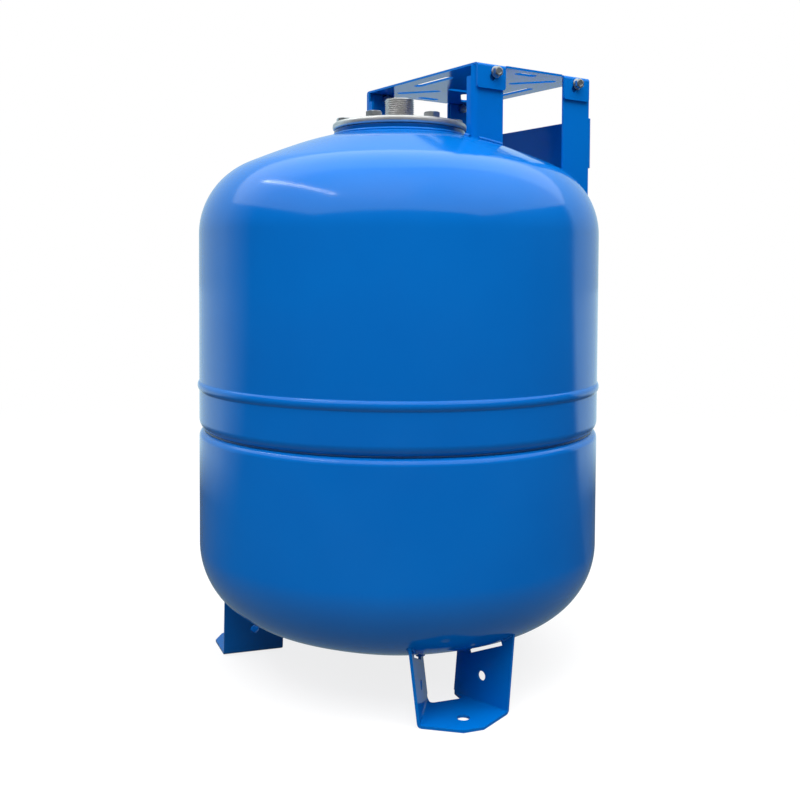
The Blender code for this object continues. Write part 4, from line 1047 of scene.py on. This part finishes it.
def behind_tank(tree, vector):
    """One where a direction or a place lies behind the tank, nought elsewhere. Its left edge is soft."""
    flat = vector_maths(tree, "MULTIPLY", vector, (1.0, 1.0, 0.0))["Vector"]
    unit = vector_maths(tree, "NORMALIZE", flat)["Vector"]
    backwards = (BACKDROP_DIRECTION.x, BACKDROP_DIRECTION.y, 0.0)
    leftwards = (-BACKDROP_DIRECTION.y, BACKDROP_DIRECTION.x, 0.0)
    along = vector_maths(tree, "DOT_PRODUCT", unit, backwards)["Value"]
    aside = vector_maths(tree, "DOT_PRODUCT", unit, leftwards)["Value"]
    left = map_range(tree, aside, -SIDE_BLEND, SIDE_BLEND)
    low = choose(tree, left, CRISP_EDGE[0], SOFT_EDGE[0])
    high = choose(tree, left, CRISP_EDGE[1], SOFT_EDGE[1])
    return map_range(tree, along, low, high)


world = bpy.data.worlds.new("white_studio")
world.use_nodes = True
bpy.context.scene.world = world
air = world.node_tree
backdrop = behind_tank(air, air.nodes.new("ShaderNodeTexCoord").outputs["Generated"])
mirrored = choose(air, backdrop, DIM_ROOM, BACKDROP_GLOW)
lit = choose(air, rays(air, "Glossy"), EVEN_LIGHT, mirrored)
strength = choose(air, rays(air, "Camera", "Transmission"), lit, 1.0)
tint = mix_colours(air, rays(air, "Glossy"), WHITE, BACKDROP_TINT)
air.links.new(tint, air.nodes["Background"].inputs["Color"])
air.links.new(strength, air.nodes["Background"].inputs["Strength"])
print("the world is white to the camera, and", EVEN_LIGHT, "strong as a light")

# %% [markdown]
# ## Floor
#
# The floor is a wide pale disc. It adds a plain glow to its lit surface for the camera, so that it
# reads as white where nothing shades it and the tank's soft shadow stays. Further out it turns
# wholly white, by its distance on Object coordinates, and so meets the world without a horizon.
# Mirrored in the enamel it follows the room. Close to the tank it is half dim, which lights the
# lower head a little. Further out it is dim in front, and behind the tank it brightens with its
# distance, which draws the brightest part of the two bands and the pale underside of the plate.

# %% Lay the floor
FLOOR_RADIUS = 30.0
FLOOR_GLOW = 0.82
FLOOR_SIDES = 64
FLOOR_GAP = 0.0003
FLOOR_GREY = 0.20
WHITE_RANGE = (0.9, 2.4)
NEAR_FLOOR = 0.28
NEAR_RANGE = (0.3, 0.6)
DIM_FLOOR = 0.06
MIDDLE_FLOOR = 0.15
FAR_FLOOR = 0.88
FAR_RANGE = (1.0, 1.6)

floor_paint, ground, floor_shader, spot = start_material("pale_floor", 0.9)
floor_shader.inputs["Base Color"].default_value = (FLOOR_GREY, FLOOR_GREY, FLOOR_GREY, 1.0)
floor_shader.inputs["Specular IOR Level"].default_value = 0.1
distance = vector_maths(ground, "LENGTH", spot)["Value"]


def beyond(reach):
    """Nought nearer than the first distance of a range, one beyond the second."""
    return map_range(ground, distance, *reach)


def emission(strength, colour=WHITE):
    shader = node(ground, "ShaderNodeEmission", {"Color": (*colour, 1.0), "Strength": strength})
    return shader.outputs["Emission"]


# %% Join what the camera and the enamel see of the floor
seen = rays(ground, "Camera", "Transmission")
glow = emission(maths(ground, "MULTIPLY", seen, FLOOR_GLOW))
near = node(ground, "ShaderNodeAddShader", {0: floor_shader.outputs["BSDF"], 1: glow})
fade = maths(ground, "MULTIPLY", beyond(WHITE_RANGE), seen)
blend = node(ground, "ShaderNodeMixShader", {0: fade, 1: near.outputs["Shader"], 2: emission(1.0)})
back_floor = choose(ground, beyond(FAR_RANGE), MIDDLE_FLOOR, FAR_FLOOR)
room_floor = choose(ground, behind_tank(ground, spot), DIM_FLOOR, back_floor)
mirrored_floor = emission(choose(ground, beyond(NEAR_RANGE), NEAR_FLOOR, room_floor), BACKDROP_TINT)
sight = {0: rays(ground, "Glossy"), 1: blend.outputs["Shader"], 2: mirrored_floor}
whole = node(ground, "ShaderNodeMixShader", sight)
ground.links.new(whole.outputs["Shader"], ground.nodes["Material Output"].inputs["Surface"])

floor_z = cad_bounds[0][2] - FLOOR_GAP
floor_rings = [[Vector((0.0, 0.0, floor_z))]]
floor_rings += [ring_at(FLOOR_RADIUS * i / 4, floor_z, FLOOR_SIDES) for i in range(1, 5)]
floor_mesh = skin_rings("floor", floor_rings)
if floor_mesh.polygons[0].normal.z < 0:
    floor_mesh.flip_normals()
floor_mesh.materials.append(floor_paint)
floor = new_object("floor", floor_mesh)
print("floor lies at", round(floor_z, 4))

# %% [markdown]
# ## Soft lamps
#
# One wide panel hangs over the tank. Mirrored in the dome it is the broad pale area of the
# photograph, which ends in a soft line at the shoulder, and on the bead and the seam it is the
# thin bright line. A long thin strip at the left is mirrored as the bright streak on the dome. Two
# panels in front, which the enamel doesn't mirror, keep the side towards the camera evenly lit.

# %% Hang the lamps
def soft_panel(name, place, aim, width, height, radiance, turn_deg=0.0):
    """A rectangular panel, whose power follows from how bright its face is."""
    lamp = bpy.data.lights.new(name, "AREA")
    lamp.shape = "RECTANGLE"
    lamp.size = width
    lamp.size_y = height
    lamp.energy = radiance * math.pi * width * height
    holder = new_object(name, lamp)
    holder.location = place
    facing = (Vector(aim) - Vector(place)).to_track_quat("-Z", "Y").to_matrix()
    holder.rotation_euler = (Matrix.Rotation(math.radians(turn_deg), 3, "Z") @ facing).to_euler()
    holder.visible_camera = False
    print(name, "shines with", round(lamp.energy, 1), "W")
    return holder


TANK_MIDDLE = (0.0, 0.0, 0.33)
OVERHEAD_PLACE = (0.83, -0.56, 2.1)
OVERHEAD_AIM = (0.83, -0.56, 0.0)
OVERHEAD_TURN_DEG = 56.0
FRONT_PLACE = (0.95, -1.3, 3.1)
SIDE_PLACE = (1.45, 0.75, 2.9)
STRIP_PLACE = (-0.55, -1.61, 2.33)

soft_panel("overhead_panel", OVERHEAD_PLACE, OVERHEAD_AIM, 7.5, 5.0, radiance=0.94,
           turn_deg=OVERHEAD_TURN_DEG)
front = soft_panel("front_panel", FRONT_PLACE, TANK_MIDDLE, 2.2, 2.2, radiance=5.5)
side = soft_panel("side_panel", SIDE_PLACE, TANK_MIDDLE, 1.8, 1.8, radiance=4.0)
soft_panel("left_strip", STRIP_PLACE, TANK_MIDDLE, 2.4, 0.07, radiance=11.0)
front.visible_glossy = False
side.visible_glossy = False

# %% [markdown]
# ## Camera
#
# The camera stands where the photograph was taken from: a little over a metre off, somewhat above
# the tank's middle, on the side from which the bracket shows at the right. It looks down by two
# degrees only, and a vertical shift does the rest, which keeps the tank's sides nearly upright.

# %% Stand the camera
CAMERA_PLACE = Vector((0.9577, -0.6419, 0.4405))
CAMERA_AIM = Vector((-0.8292, 0.5575, -0.0401)).normalized()
CAMERA_ROLL_DEG = 0.292
CAMERA_SENSOR = 36.0
CAMERA_LENS = 45.12
CAMERA_SHIFT_Y = -0.1079

across = CAMERA_AIM.cross(Vector((0.0, 0.0, 1.0))).normalized()
upwards = across.cross(CAMERA_AIM)
roll = math.radians(CAMERA_ROLL_DEG)
axis_x = across * math.cos(roll) + upwards * math.sin(roll)
axis_y = upwards * math.cos(roll) - across * math.sin(roll)
stand = Matrix((axis_x, axis_y, -CAMERA_AIM)).transposed().to_4x4()
stand.translation = CAMERA_PLACE
camera_data = bpy.data.cameras.new("photo_camera")
camera_data.sensor_width = CAMERA_SENSOR
camera_data.lens = CAMERA_LENS
camera_data.shift_y = CAMERA_SHIFT_Y
camera = new_object("photo_camera", camera_data)
camera.matrix_world = stand
bpy.context.scene.camera = camera
bpy.context.scene.view_settings.view_transform = "Standard"
print("camera stands at", tuple(round(c, 3) for c in CAMERA_PLACE))

# %% [markdown]
# ## Check the size and finish
#
# The dressed tank may not outgrow the CAD box, so both boxes are written down before finishing.

# %% Write both boxes and finish
def plain(box):
    return [[float(value) for value in corner] for corner in box]
